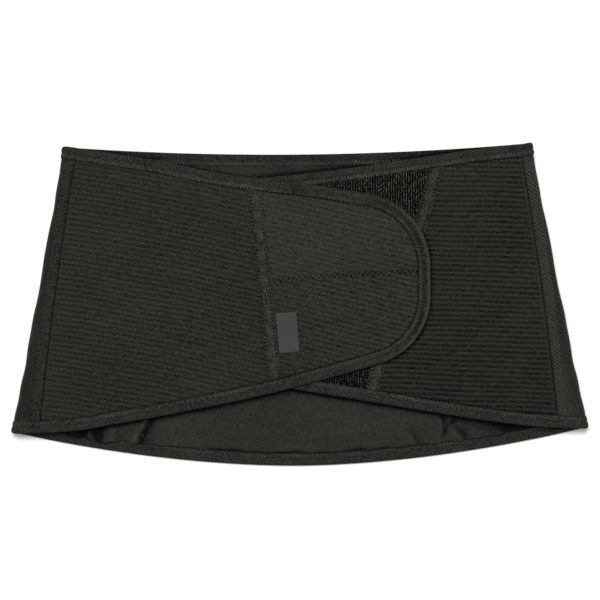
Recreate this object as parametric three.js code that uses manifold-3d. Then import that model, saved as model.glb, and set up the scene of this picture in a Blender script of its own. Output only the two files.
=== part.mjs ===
// Lower back support: a wide padded belt that closes in front with hook and loop.
// It lies on its back as it is stored: folded at both sides, closed, with the front flaps on top.
// Millimetres. Seen from above, +X is right and +Y is the waist edge; +Z is up from what it lies on.

import * as THREE from 'three';
import { mergeVertices } from 'three/addons/utils/BufferGeometryUtils.js';
import Module from 'manifold-3d';

const wasm = await Module();
wasm.setup();

const { lerp, smoothstep, degToRad } = THREE.MathUtils;

// Cloth thicknesses and the gap between neighbours
const GAP = 0.3;
const WALL = 2.4;
const PAD = 4.6;
const TAPE = 0.7;
const BAND = 0.9;
const LABEL = 0.6;

// Widths of tapes and bands
const BINDING_WIDTH = 9.2;
const BINDING_ROUND = 0.8;
const BAND_WIDTH = 11;
const SIDE_TAPE_WIDTH = 8.4;
const SIDE_TAPE_LAP = 0.6;

// Side folds, half as high and as deep as their middle surface is
const FOLD_HALF_HEIGHT = 7.4;
const FOLD_DEPTH = 5.8;

// Heights of the walls' middle surfaces
const BACK_LEVEL = PAD / 2;
const FOLD_LEVEL = BACK_LEVEL + 2 * FOLD_HALF_HEIGHT;
const RIGHT_LEVEL = 14.4;
const OVERLAP_RISE = 5;
const LEFT_LEVEL = RIGHT_LEVEL + OVERLAP_RISE;

// Where each flap has left the level of its side fold and reached its own
const LEFT_SLOPE = { outer: -166, inner: -84 };
const RIGHT_SLOPE = { outer: 168, inner: 112 };

// Corners of the closed belt, at the binding's outer edge, and how its edges and sides bow
const TOP_CORNER = { x: 180, y: 123.1 };
const BOTTOM_CORNER = { x: 221.5, y: -96.1 };
const WAIST_DIP = 7;
const HIP_DROP = 27.2;
const WAIST_POWER = 2;
const HIP_POWER = 1.82;
const SIDE_BOW = 0.8;
const RIGHT_TOP_DROP = 1;

// The seams of back and flaps, by their distance from the middle, and how far they bow outwards
const LEFT_SEAM = { side: -1, topX: 168, topY: 121.6, bottomX: 198.8, bottomY: -95.5, bow: 1.8 };
const RIGHT_SEAM = { side: 1, topX: 169.8, topY: 121, bottomX: 197.5, bottomY: -94.9, bow: 1.9 };

// Round ends of the flaps, each between its two corner arcs: the tab's, and the end that it covers
const TAB_END = {
  hip: { x: 46.6, y: 7, radius: 54, from: -74.8, to: 0 },
  waist: { x: 44.6, y: 29.2, radius: 56, from: 0, to: 80.5 },
};
const COVERED_END = {
  waist: { x: -30, y: 52.2, radius: 45, from: 95.7, to: 180 },
  hip: { x: -30, y: -13.3, radius: 45, from: 180, to: 259.2 },
};

// Edges of the flaps between their corners and their round ends
const LEFT_HIP_EDGE = [
  { x: -BOTTOM_CORNER.x, y: BOTTOM_CORNER.y },
  { x: -172, y: -94.2 },
  { x: -138, y: -88.8 },
  { x: -90, y: -80.6 },
  { x: -24, y: -67.4 },
  { x: 31, y: -53.3 },
];
const LEFT_WAIST_EDGE = [
  { x: 11.5, y: 91.8 },
  { x: -29, y: 96.8 },
  { x: -66, y: 102.4 },
  { x: -110, y: 111.7 },
  { x: -TOP_CORNER.x, y: TOP_CORNER.y },
];
const RIGHT_WAIST_EDGE = [
  { x: TOP_CORNER.x, y: TOP_CORNER.y - RIGHT_TOP_DROP },
  { x: 136, y: 117.9 },
  { x: 92, y: 111.8 },
  { x: 47, y: 105.4 },
  { x: 3, y: 100.4 },
];
const RIGHT_HIP_EDGE = [
  { x: -6, y: -63.7 },
  { x: 44, y: -72.4 },
  { x: 101, y: -82.5 },
  { x: 148, y: -89.9 },
  { x: 181, y: -93.8 },
  { x: BOTTOM_CORNER.x, y: BOTTOM_CORNER.y },
];

// Seams that cross the flaps: the middle lines of the two seam bands
const LEFT_BAND_LINE = { top: { x: -36.4, y: 125 }, bottom: { x: -14.6, y: -105 } };
const RIGHT_BAND_LINE = { top: { x: 112.4, y: 125 }, bottom: { x: 43, y: -105 } };

// Ribs of the knitted elastic; a positive tilt runs down to the right
const RIB_PITCH = 3.8;
const RIB_DEPTH = 0.5;
const LEFT_RIB_TILT = 11.5;
const TAB_RIB_TILT = 14;
const RIGHT_RIB_TILT = 2.3;

// Ribbed blanks that the panels are cut from, from end to end in X
const LEFT_BLANK = { height: 290, middleY: 10, from: -270, to: 20 };
const TAB_BLANK = { height: 210, middleY: 12, from: -80, to: 150 };
const RIGHT_BLANK = { height: 250, middleY: 12, from: 10, to: 250 };

// Soft creases of the lining beside the hip edge; they lean as they run down to it
const LINING_CREASES = [
  { x: -122, y: -98, spread: 8, run: 15, lean: 0.9, depth: 1.3 },
  { x: -152, y: -100, spread: 7, run: 12, lean: 0.5, depth: 1.1 },
  { x: 111, y: -96, spread: 8, run: 14, lean: 0, depth: 1.2 },
  { x: 130, y: -100, spread: 7, run: 10, lean: -0.6, depth: 0.9 },
];

// The label, sewn to the seam band
const LABEL_SIZE = { width: 15.4, height: 30.2 };
const LABEL_PLACE = { x: -8.2, y: -20.5, turn: 4.4 };

// The hook face keeps clear of the tab's bound edge and of the seam band below
const HOOK_INSET = 12;
const HOOK_CLEAR = 2;
const HOOK_SEAM_CLEAR = 16;

// How finely curves are cut into facets
const SPLINE_STEPS_PER_ROW = 3;
const ARC_STEPS = 8;
const BOW_STEPS = 8;
const SLOPE_STEPS = 4;
const UNDERSIDE_ROWS = 8;
const FOLD_STEPS = 8;
const BACK_STEPS = 32;
const BACK_EDGE_STEPS = 20;
const TAPE_STEPS = { across: 5, along: 8 };

// Rows of the back from hip edge to waist edge, as shares of its height, closest where the padding fades
const BACK_ROWS = [0, 0.04, 0.09, 0.14, 0.2, 0.35, 0.5, 0.7, 0.91, 0.96, 1];

// Cutting blocks reach well past every piece, the one between the seams by a share of their height
const FAR = 300;
const SEAM_OVERRUN = 0.2;
const CUT_BOTTOM = -10;
const CUT_HEIGHT = 60;

const COLOURS = {
  elastic: { color: 0x2b2a27, roughness: 0.92, metalness: 0 },
  lining: { color: 0x2d2c29, roughness: 0.85, metalness: 0 },
  binding: { color: 0x302f2c, roughness: 0.9, metalness: 0 },
  loop: { color: 0x191917, roughness: 1, metalness: 0 },
  hook: { color: 0x1c1c1a, roughness: 0.7, metalness: 0 },
  label: { color: 0x4d4b4c, roughness: 0.6, metalness: 0 },
};

// Geometry and solids

function steps(from, to, count) {
  return Array.from({ length: count + 1 }, (_, i) => lerp(from, to, i / count));
}

function toSolid(geometry) {
  const bare = geometry.clone();
  bare.deleteAttribute('normal');
  bare.deleteAttribute('uv');
  const merged = mergeVertices(bare);
  return new wasm.Manifold(new wasm.Mesh({
    numProp: 3,
    vertProperties: new Float32Array(merged.attributes.position.array),
    triVerts: new Uint32Array(merged.index.array),
  }));
}

function toGeometry(solid) {
  const mesh = solid.getMesh();
  const geometry = new THREE.BufferGeometry();
  geometry.setAttribute('position', new THREE.BufferAttribute(mesh.vertProperties, mesh.numProp));
  geometry.setIndex(new THREE.BufferAttribute(mesh.triVerts, 1));
  geometry.computeVertexNormals();
  return geometry;
}

// Moves every vertex of a geometry to where place(vertex) puts it
function bend(geometry, place) {
  const positions = geometry.attributes.position;
  const vertex = new THREE.Vector3();
  for (let i = 0; i < positions.count; i += 1) {
    vertex.fromBufferAttribute(positions, i);
    const placed = place(vertex);
    positions.setXYZ(i, placed.x, placed.y, placed.z);
  }
  geometry.computeVertexNormals();
  return geometry;
}

// A box bent to a sheet: sheet(across, up, depth) places it, with depth from -0.5 to 0.5 through the wall
function bentSheet(across, up, sheet) {
  const box = new THREE.BoxGeometry(1, 1, 1, across.length - 1, up.length - 1, 1);
  return bend(box, (vertex) => {
    const column = Math.round((vertex.x + 0.5) * (across.length - 1));
    const row = Math.round((vertex.y + 0.5) * (up.length - 1));
    return sheet(across[column], up[row], vertex.z);
  });
}

// A straight prism of an outline seen from above
function prism(outline, bottom, height) {
  const shape = new THREE.Shape(outline.map((p) => new THREE.Vector2(p.x, p.y)));
  const geometry = new THREE.ExtrudeGeometry(shape, { depth: height, bevelEnabled: false });
  return geometry.translate(0, 0, bottom);
}

function cutter(outline) {
  return toSolid(prism(outline, CUT_BOTTOM, CUT_HEIGHT));
}

// Levels of the flaps

function leftLevel(x) {
  return lerp(FOLD_LEVEL, LEFT_LEVEL, smoothstep(x, LEFT_SLOPE.outer, LEFT_SLOPE.inner));
}

function rightLevel(x) {
  return lerp(RIGHT_LEVEL, FOLD_LEVEL, smoothstep(x, RIGHT_SLOPE.inner, RIGHT_SLOPE.outer));
}

// Outlines of the flaps seen from above, counter-clockwise, at the binding's outer edge

function arcPoint(arc, degrees) {
  const angle = degToRad(degrees);
  return new THREE.Vector2(arc.x + arc.radius * Math.cos(angle), arc.y + arc.radius * Math.sin(angle));
}

function flapPath(edgeIn, firstArc, secondArc, edgeOut) {
  const toPoints = (rows) => rows.map((row) => new THREE.Vector2(row.x, row.y));
  const path = new THREE.Path();
  path.moveTo(edgeIn[0].x, edgeIn[0].y);
  path.splineThru([...toPoints(edgeIn.slice(1)), arcPoint(firstArc, firstArc.from)]);
  for (const arc of [firstArc, secondArc]) {
    path.absarc(arc.x, arc.y, arc.radius, degToRad(arc.from), degToRad(arc.to), false);
  }
  path.splineThru(toPoints(edgeOut));
  return path.curves.flatMap((curve) => {
    const stepsByType = {
      SplineCurve: SPLINE_STEPS_PER_ROW * edgeIn.length,
      EllipseCurve: ARC_STEPS,
      LineCurve: 1,
    };
    return curve.getPoints(stepsByType[curve.type]);
  }).filter((point, i, all) => i === 0 || point.distanceTo(all[i - 1]) > GAP);
}

// The inward direction at each point of a counter-clockwise outline
function inwardAt(points, i) {
  const before = points[Math.max(i - 1, 0)];
  const after = points[Math.min(i + 1, points.length - 1)];
  const along = after.clone().sub(before).normalize();
  return new THREE.Vector2(-along.y, along.x);
}

function inset(points, distance) {
  return points.map((point, i) => point.clone().addScaledVector(inwardAt(points, i), distance));
}

const leftPath = flapPath(LEFT_HIP_EDGE, TAB_END.hip, TAB_END.waist, LEFT_WAIST_EDGE);
const rightPath = flapPath(RIGHT_WAIST_EDGE, COVERED_END.waist, COVERED_END.hip, RIGHT_HIP_EDGE);

// The panel's edge lies inside the binding's fold, clear of it
const EDGE_INSET = TAPE + GAP;
const leftCloth = cutter(inset(leftPath, EDGE_INSET));
const rightCloth = cutter(inset(rightPath, EDGE_INSET));
const insideLeftBinding = cutter(inset(leftPath, BINDING_WIDTH + GAP));
const insideRightBinding = cutter(inset(rightPath, BINDING_WIDTH + GAP));

// Side seams and side folds, by the share of the height from the hip edge to the waist edge

function bow(share) {
  return 4 * share * (1 - share);
}

function seamX(seam, share) {
  return lerp(seam.bottomX, seam.topX, share) + seam.bow * bow(share);
}

function foldAxisX(share) {
  const outside = lerp(BOTTOM_CORNER.x, TOP_CORNER.x, share) - SIDE_BOW * bow(share);
  return outside - EDGE_INSET - WALL / 2 - FOLD_DEPTH;
}

// The block between the side seams, which ends every piece of the flaps there
const seamShares = steps(-SEAM_OVERRUN, 1 + SEAM_OVERRUN, BOW_STEPS);
const seamPoint = (seam, share) => ({
  x: seam.side * (seamX(seam, share) - GAP / 2),
  y: lerp(seam.bottomY, seam.topY, share),
});
const betweenSeams = cutter([
  ...seamShares.map((share) => seamPoint(RIGHT_SEAM, share)),
  ...seamShares.toReversed().map((share) => seamPoint(LEFT_SEAM, share)),
]);

// A strip along a band line, from one offset to another across it, positive to the right
function stripAlong(line, from, to) {
  return [
    { x: line.top.x + from, y: line.top.y },
    { x: line.bottom.x + from, y: line.bottom.y },
    { x: line.bottom.x + to, y: line.bottom.y },
    { x: line.top.x + to, y: line.top.y },
  ];
}

// Ribbed panels

// Section across the ribs: a flat underside, and on top a crest and a valley for each rib
function ribSection(height) {
  const shape = new THREE.Shape();
  const ribs = Math.ceil(height / RIB_PITCH);
  const half = (ribs * RIB_PITCH) / 2;
  shape.moveTo(-half, -WALL / 2);
  for (const across of steps(-half, half, UNDERSIDE_ROWS).slice(1)) {
    shape.lineTo(across, -WALL / 2);
  }
  for (let rib = 0; rib < ribs; rib += 1) {
    const start = half - rib * RIB_PITCH;
    shape.lineTo(start, WALL / 2 - RIB_DEPTH);
    shape.lineTo(start - RIB_PITCH / 2, WALL / 2);
  }
  shape.lineTo(-half, WALL / 2 - RIB_DEPTH);
  return shape;
}

// A ribbed slab with its ribs turned by the tilt, lifted to the flap's level and bent along the slope
function ribbedSlab(blank, slope, tilt, level) {
  const stations = [blank.from, ...slope, blank.to];
  const count = stations.length - 1;
  const geometry = new THREE.ExtrudeGeometry(ribSection(blank.height), {
    depth: count,
    steps: count,
    bevelEnabled: false,
  });
  const middleX = (blank.from + blank.to) / 2;
  const turn = degToRad(tilt);
  return toSolid(bend(geometry, (vertex) => {
    const along = stations[Math.round(vertex.z)] - middleX;
    const x = middleX + along * Math.cos(turn) + vertex.x * Math.sin(turn);
    const y = blank.middleY - along * Math.sin(turn) + vertex.x * Math.cos(turn);
    return new THREE.Vector3(x, y, level(x) + vertex.y);
  }));
}

function leftFrontPanel() {
  const slope = steps(LEFT_SLOPE.outer, LEFT_SLOPE.inner, SLOPE_STEPS);
  const slab = ribbedSlab(LEFT_BLANK, slope, LEFT_RIB_TILT, leftLevel);
  return slab
    .intersect(leftCloth)
    .intersect(betweenSeams)
    .intersect(cutter(stripAlong(LEFT_BAND_LINE, -FAR, -GAP / 2)));
}

function closureTab() {
  const slab = ribbedSlab(TAB_BLANK, [], TAB_RIB_TILT, leftLevel);
  return slab.intersect(leftCloth).intersect(cutter(stripAlong(LEFT_BAND_LINE, GAP / 2, FAR)));
}

function rightFrontPanel() {
  const slope = steps(RIGHT_SLOPE.inner, RIGHT_SLOPE.outer, SLOPE_STEPS);
  const slab = ribbedSlab(RIGHT_BLANK, slope, RIGHT_RIB_TILT, rightLevel);
  return slab
    .intersect(rightCloth)
    .intersect(betweenSeams)
    .intersect(cutter(stripAlong(RIGHT_BAND_LINE, GAP / 2, FAR)));
}

// Flat pieces of the closure

function flatPiece(outline, bottom, thickness) {
  return toSolid(prism(outline, bottom, thickness));
}

function loopPanel() {
  const outline = inset(rightPath, EDGE_INSET);
  return flatPiece(outline, RIGHT_LEVEL - WALL / 2, WALL)
    .intersect(cutter(stripAlong(RIGHT_BAND_LINE, -FAR, -GAP / 2)));
}

// The hook face fills the height between the loop face and the tab
function hookPatch() {
  const bottom = RIGHT_LEVEL + WALL / 2 + GAP;
  const top = LEFT_LEVEL - WALL / 2 - GAP;
  return flatPiece(inset(leftPath, HOOK_INSET), bottom, top - bottom)
    .intersect(cutter(stripAlong(LEFT_BAND_LINE, HOOK_SEAM_CLEAR, FAR)))
    .intersect(cutter(stripAlong(RIGHT_BAND_LINE, -FAR, -BAND_WIDTH / 2 - HOOK_CLEAR)));
}

function seamBand(line, level, insideBinding) {
  const outline = stripAlong(line, -BAND_WIDTH / 2, BAND_WIDTH / 2);
  return flatPiece(outline, level + WALL / 2 + GAP, BAND).intersect(insideBinding);
}

// Bindings

// Section of a folded tape round a wall's edge: x inwards from the edge, y out of the wall's middle
function bindingSection() {
  const inner = WALL / 2 + GAP;
  const outer = inner + TAPE;
  return new THREE.Shape([
    new THREE.Vector2(BINDING_ROUND, -outer),
    new THREE.Vector2(BINDING_WIDTH, -outer),
    new THREE.Vector2(BINDING_WIDTH, -inner),
    new THREE.Vector2(TAPE, -inner),
    new THREE.Vector2(TAPE, inner),
    new THREE.Vector2(BINDING_WIDTH, inner),
    new THREE.Vector2(BINDING_WIDTH, outer),
    new THREE.Vector2(BINDING_ROUND, outer),
    new THREE.Vector2(0, outer - BINDING_ROUND),
    new THREE.Vector2(0, BINDING_ROUND - outer),
  ]);
}

// The tape along an edge; each frame has the edge's point, its inward direction and the wall's normal
function bindingAlong(frames) {
  const count = frames.length - 1;
  const geometry = new THREE.ExtrudeGeometry(bindingSection(), {
    depth: count,
    steps: count,
    bevelEnabled: false,
  });
  return bend(geometry, (vertex) => {
    const frame = frames[Math.round(vertex.z)];
    return frame.point
      .clone()
      .addScaledVector(frame.inward, vertex.x)
      .addScaledVector(frame.normal, vertex.y);
  });
}

function flapBinding(path, level) {
  const frames = path.map((point, i) => {
    const inward = inwardAt(path, i);
    return {
      point: new THREE.Vector3(point.x, point.y, level(point.x)),
      inward: new THREE.Vector3(inward.x, inward.y, 0),
      normal: new THREE.Vector3(0, 0, 1),
    };
  });
  return toSolid(bindingAlong(frames)).intersect(betweenSeams);
}

// The back, which turns up round both sides to the seams.
// Across it, 0 is the middle; FLAT, TURNED and SEWN are the ends of the back, the fold and the upper leg.
const FLAT = 0.5;
const TURNED = 1.5;
const SEWN = 2.5;

// The wall's middle surface, edgeInset inside the binding's outer edges
function backPoint(across, share, edgeInset) {
  const seam = across < 0 ? LEFT_SEAM : RIGHT_SEAM;
  const reachAcross = Math.abs(across);
  const seamAt = seamX(seam, share) + GAP / 2;
  const axis = foldAxisX(share);
  const reach = axis + FOLD_DEPTH;
  let x = axis * (reachAcross / FLAT);
  let z = BACK_LEVEL;
  if (reachAcross > TURNED) {
    x = lerp(axis, seamAt, reachAcross - TURNED);
    z = FOLD_LEVEL;
  } else if (reachAcross > FLAT) {
    const turn = Math.PI * (reachAcross - FLAT);
    x = axis + FOLD_DEPTH * Math.sin(turn);
    z = BACK_LEVEL + FOLD_HALF_HEIGHT * (1 - Math.cos(turn));
  }
  let top = TOP_CORNER.y - WAIST_DIP * (1 - (x / reach) ** WAIST_POWER);
  let bottom = BOTTOM_CORNER.y - HIP_DROP * (1 - (x / reach) ** HIP_POWER);
  if (reachAcross > (FLAT + TURNED) / 2) {
    const toSeam = (reach - x) / (reach - seamAt);
    top = lerp(TOP_CORNER.y, seam.topY, toSeam);
    bottom = lerp(BOTTOM_CORNER.y, seam.bottomY, toSeam);
  }
  return new THREE.Vector3(seam.side * x, lerp(bottom + edgeInset, top - edgeInset, share), z);
}

// Directions of that surface: up towards the waist, and out of the belt
function backFrame(across, share) {
  const nudge = 0.001;
  const upper = Math.min(share + nudge, 1);
  const right = Math.min(across + nudge, SEWN);
  const up = backPoint(across, upper, 0).sub(backPoint(across, upper - nudge, 0)).normalize();
  const along = backPoint(right, share, 0).sub(backPoint(right - nudge, share, 0)).normalize();
  return { up, out: up.clone().cross(along).normalize() };
}

// The padding fades out before the side folds and before the bound edges
const PAD_ENDS = { full: 0.41, none: 0.49 };
const PAD_EDGES = { none: 0.04, full: 0.09 };

function backThickness(across, share) {
  const fromEdge = Math.min(share, 1 - share);
  const inSides = 1 - smoothstep(Math.abs(across), PAD_ENDS.full, PAD_ENDS.none);
  const inEdges = smoothstep(fromEdge, PAD_EDGES.none, PAD_EDGES.full);
  return lerp(WALL, PAD, inSides * inEdges);
}

function liningCrease(point) {
  return LINING_CREASES.reduce((sum, crease) => {
    const down = point.y - crease.y;
    const aside = point.x - crease.x - crease.lean * down;
    return sum + crease.depth * Math.exp(-((aside / crease.spread) ** 2) - (down / crease.run) ** 2);
  }, 0);
}

function acrossStations(backSteps) {
  return [
    -SEWN,
    ...steps(-TURNED, -FLAT, FOLD_STEPS),
    ...steps(-FLAT, FLAT, backSteps).slice(1),
    ...steps(FLAT, TURNED, FOLD_STEPS).slice(1),
    SEWN,
  ];
}

// Depth runs from the outer cloth, which lies on the surface, to the lining inside
function backPanel() {
  return bentSheet(acrossStations(BACK_STEPS), BACK_ROWS, (across, share, depth) => {
    const point = backPoint(across, share, EDGE_INSET);
    const { out } = backFrame(across, share);
    const crease = depth > 0 && Math.abs(across) < FLAT ? liningCrease(point) : 0;
    return point.addScaledVector(out, crease - depth * backThickness(across, share));
  });
}

function backBinding(share, inwardSign) {
  const frames = acrossStations(BACK_EDGE_STEPS).map((across) => {
    const { up, out } = backFrame(across, share);
    return { point: backPoint(across, share, 0), inward: up.multiplyScalar(inwardSign), normal: out };
  });
  return bindingAlong(inwardSign > 0 ? frames.toReversed() : frames);
}

// Tapes over the side seams, from a lap on the flap, over the upper leg and on to the fold
function sideTape(seam) {
  const margin = (BINDING_WIDTH + GAP) / (seam.topY - seam.bottomY);
  const across = steps(-SIDE_TAPE_LAP, SIDE_TAPE_WIDTH - SIDE_TAPE_LAP, TAPE_STEPS.across);
  const up = steps(margin, 1 - margin, TAPE_STEPS.along);
  const middle = WALL / 2 + GAP + BAND / 2;
  const sheet = (distance, share, depth) => {
    const start = seamX(seam, share);
    const leg = Math.max(foldAxisX(share) - start, 0);
    const turn = Math.max(distance - leg, 0) / FOLD_DEPTH;
    const away = middle + depth * BAND;
    const x = start + Math.min(distance, leg) + (FOLD_DEPTH + away) * Math.sin(turn);
    const z = FOLD_LEVEL - FOLD_HALF_HEIGHT + (FOLD_HALF_HEIGHT + away) * Math.cos(turn);
    return new THREE.Vector3(seam.side * x, lerp(seam.bottomY, seam.topY, share), z);
  };
  return bentSheet(seam.side > 0 ? across : across.toReversed(), up, sheet);
}

// The assembly

const belt = new THREE.Group();

function addPiece(name, geometry, colour) {
  const mesh = new THREE.Mesh(geometry, new THREE.MeshStandardMaterial(COLOURS[colour]));
  mesh.name = name;
  belt.add(mesh);
  return mesh;
}

addPiece('back_panel', backPanel(), 'lining');
addPiece('back_top_binding', backBinding(1, -1), 'binding');
addPiece('back_bottom_binding', backBinding(0, 1), 'binding');

addPiece('left_front_panel', toGeometry(leftFrontPanel()), 'elastic');
addPiece('closure_tab', toGeometry(closureTab()), 'elastic');
const leftSeamBand = seamBand(LEFT_BAND_LINE, LEFT_LEVEL, insideLeftBinding);
addPiece('left_seam_band', toGeometry(leftSeamBand), 'elastic');
addPiece('left_front_binding', toGeometry(flapBinding(leftPath, leftLevel)), 'binding');

addPiece('right_front_panel', toGeometry(rightFrontPanel()), 'elastic');
addPiece('loop_panel', toGeometry(loopPanel()), 'loop');
const rightSeamBand = seamBand(RIGHT_BAND_LINE, RIGHT_LEVEL, insideRightBinding);
addPiece('right_seam_band', toGeometry(rightSeamBand), 'elastic');
addPiece('right_front_binding', toGeometry(flapBinding(rightPath, rightLevel)), 'binding');

addPiece('left_side_tape', sideTape(LEFT_SEAM), 'binding');
addPiece('right_side_tape', sideTape(RIGHT_SEAM), 'binding');

addPiece('hook_patch', toGeometry(hookPatch()), 'hook');

const label = addPiece('label', new THREE.BoxGeometry(LABEL_SIZE.width, LABEL_SIZE.height, LABEL), 'label');
label.position.set(LABEL_PLACE.x, LABEL_PLACE.y, LEFT_LEVEL + WALL / 2 + GAP + LABEL / 2);
label.rotation.z = degToRad(LABEL_PLACE.turn);

export default belt;
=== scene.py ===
"""Lower back support, lying closed and flat.

Its cloth, tapes, stitches and finishes are made here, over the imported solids.
"""

import math

import bpy
import numpy as np
from bpy.props import FloatProperty, FloatVectorProperty, PointerProperty
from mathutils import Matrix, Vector


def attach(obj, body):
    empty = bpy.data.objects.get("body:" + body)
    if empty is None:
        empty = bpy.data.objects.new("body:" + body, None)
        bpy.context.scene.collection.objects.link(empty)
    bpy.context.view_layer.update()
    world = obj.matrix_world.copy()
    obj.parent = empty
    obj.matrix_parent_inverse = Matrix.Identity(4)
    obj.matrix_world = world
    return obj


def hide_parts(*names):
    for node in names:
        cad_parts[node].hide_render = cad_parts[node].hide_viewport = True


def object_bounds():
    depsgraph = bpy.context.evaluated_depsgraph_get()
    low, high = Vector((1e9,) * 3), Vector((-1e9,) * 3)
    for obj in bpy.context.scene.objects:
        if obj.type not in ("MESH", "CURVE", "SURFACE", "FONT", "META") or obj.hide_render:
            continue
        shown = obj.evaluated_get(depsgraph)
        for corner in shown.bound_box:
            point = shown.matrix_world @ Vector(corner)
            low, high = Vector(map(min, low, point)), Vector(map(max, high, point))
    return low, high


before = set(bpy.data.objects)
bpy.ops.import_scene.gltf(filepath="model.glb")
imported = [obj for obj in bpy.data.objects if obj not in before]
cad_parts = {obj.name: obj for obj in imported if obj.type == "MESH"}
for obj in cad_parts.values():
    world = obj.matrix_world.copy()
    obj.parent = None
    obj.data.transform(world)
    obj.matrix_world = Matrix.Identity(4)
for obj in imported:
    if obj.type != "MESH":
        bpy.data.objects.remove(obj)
CAD_LOW, CAD_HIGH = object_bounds()

bl_info = {
    "name": "Lower back support",
    "version": (1, 0, 0),
    "blender": (4, 5, 0),
    "location": "View3D > Sidebar > Belt",
    "description": "Cloth, tapes, stitches and finishes of a lower back support",
    "category": "Add Mesh",
}

# Shapes are worked out in millimetres, as in the part's source, and meshes are written in metres
MM = 0.001
GAP = 0.3
WALL = 2.4
PAD = 4.6
BAND = 0.9
LABEL = 0.5
EDGE_INSET = 1.0
BINDING_WIDTH = 9.2
BAND_WIDTH = 11
SIDE_TAPE = (0.45, 7.8)

# Side folds and the heights of the walls' middle surfaces
FOLD_HALF_HEIGHT = 7.4
FOLD_DEPTH = 5.8
BACK_LEVEL = PAD / 2
FOLD_LEVEL = BACK_LEVEL + 2 * FOLD_HALF_HEIGHT
RIGHT_LEVEL = 14.4
LEFT_LEVEL = 19.4
LEFT_SLOPE = (-166, -84)
RIGHT_SLOPE = (112, 168)

# Corners of the closed belt and how its edges and sides bow
TOP_CORNER = (180, 123.1)
BOTTOM_CORNER = (221.5, -96.1)
WAIST_DIP = 7
HIP_DROP = 27.2
WAIST_POWER = 2
HIP_POWER = 1.82
SIDE_BOW = 0.8
LEFT_SEAM = {"side": -1, "top": (168, 121.6), "bottom": (198.8, -95.5), "bow": 1.8}
RIGHT_SEAM = {"side": 1, "top": (169.8, 121), "bottom": (197.5, -94.9), "bow": 1.9}

# Edges of the flaps: a curve in, two corner arcs (centre, radius, degrees from and to), and a curve out
LEFT_HIP_EDGE = [(-221.5, -96.1), (-172, -94.2), (-138, -88.8), (-90, -80.6), (-24, -67.4), (31, -53.3)]
TAB_ARCS = [(46.6, 7, 54, -74.8, 0), (44.6, 29.2, 56, 0, 80.5)]
LEFT_WAIST_EDGE = [(11.5, 91.8), (-29, 96.8), (-66, 102.4), (-110, 111.7), (-180, 123.1)]
RIGHT_WAIST_EDGE = [(180, 122.1), (136, 117.9), (92, 111.8), (47, 105.4), (3, 100.4)]
COVERED_ARCS = [(-30, 52.2, 45, 95.7, 180), (-30, -13.3, 45, 180, 259.2)]
RIGHT_HIP_EDGE = [(-6, -63.7), (44, -72.4), (101, -82.5), (148, -89.9), (181, -93.8), (221.5, -96.1)]
LEFT_BAND_LINE = ((-36.4, 125), (-14.6, -105))
RIGHT_BAND_LINE = ((112.4, 125), (43, -105))
LABEL_SIZE = (15.4, 30.2)
LABEL_PLACE = (-8.6, -20.5)
LABEL_TURN = 4.4

# How finely an edge is followed; every fourth of its points is enough for distances
EDGE_STEP = 0.5
EDGE_SKIP = 4

# How finely curves are first drawn
CURVE_STEPS = 60

# Across the back, 0 is the middle; these are the ends of the flat back, of the fold and of the sewn leg
FLAT, TURNED, SEWN = 0.5, 1.5, 2.5
OUTMOST = (FLAT + TURNED) / 2

# Where the pad thins out, across the back and as a share of its height
PAD_ENDS = (0.41, 0.49)
PAD_EDGES = (0.04, 0.09)

# Steps across a leg, a fold and the flat back, for the back's mesh and for its bound edges
BACK_STEPS = (5, 16, 220)
BACK_EDGE_STEPS = (12, 60, 500)

# Rows of the back's mesh up to each share of the height, closest together where the lining shows
BACK_ROWS = [(0.24, 64), (0.9, 28), (1, 26)]

# Ribs of the elastic: their slope at a place x and how it lessens away from there, their share of the
# full depth, how far from the side seam they fade out, and how much lighter the cloth is at the waist
LEFT_RIBS = {"slope": 0.25, "at": 50, "lessens": 2e-6, "depth": 0.92, "fades": 2.5, "waist_lighter": 0.02}
TAB_RIBS = {"slope": 0.25, "at": 50, "lessens": 2e-6, "depth": 0.8, "fades": 2.5, "waist_lighter": 0.42}
RIGHT_RIBS = {"slope": 0.042, "at": 120, "lessens": 0, "depth": 1.35, "fades": 4, "waist_lighter": 0.2}

# Creases of the lining, from a flap's edge down to the hem: their width, depth and the ridge beside them
LINING_CREASES = [
    {"top": (-114, -84), "bottom": (-131, -107), "width": 2.0, "depth": 2.9, "ridge": 0.8},
    {"top": (-157, -90), "bottom": (-161, -110), "width": 2.9, "depth": 3.3, "ridge": 0.5},
    {"top": (-171, -93), "bottom": (-174, -106), "width": 2.0, "depth": 2.6, "ridge": 0.5},
    {"top": (-140, -92), "bottom": (-145, -106), "width": 3.0, "depth": 0.7, "ridge": 0.5},
    {"top": (110, -90), "bottom": (108, -101), "width": 1.5, "depth": 2.2, "ridge": 0.25},
    {"top": (116, -84), "bottom": (114, -93), "width": 1.4, "depth": 1.8, "ridge": 0.25},
    {"top": (122, -97), "bottom": (128, -105), "width": 1.6, "depth": 2.1, "ridge": 0.25},
    {"top": (84, -98), "bottom": (92, -112), "width": 2.0, "depth": 1.0, "ridge": 0.3},
    {"top": (154, -91), "bottom": (160, -102), "width": 2.2, "depth": 1.7, "ridge": 0.3},
]

# The lining by shares of the back's height: where it comes out from under its tapes, the place and spread
# # of the painted shade at the hem's seam, and those of the roll over the hem's tape
LINING_FREE = (0.036, 0.058)
HEM_SEAM_SHADE = (0.041, 0.006)
HEM_ROLL = (0.052, 0.011)

# How far the lining rolls out: across, down towards the hem, and up; it rolls more towards both sides,
# and most in the left corner
ROLL_MOVES = (0, -3.4, 2.0)
ROLL_SIDES = (50, 110)
ROLL_CORNER = (134, 152)
CORNER_MORE = 1.8

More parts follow.
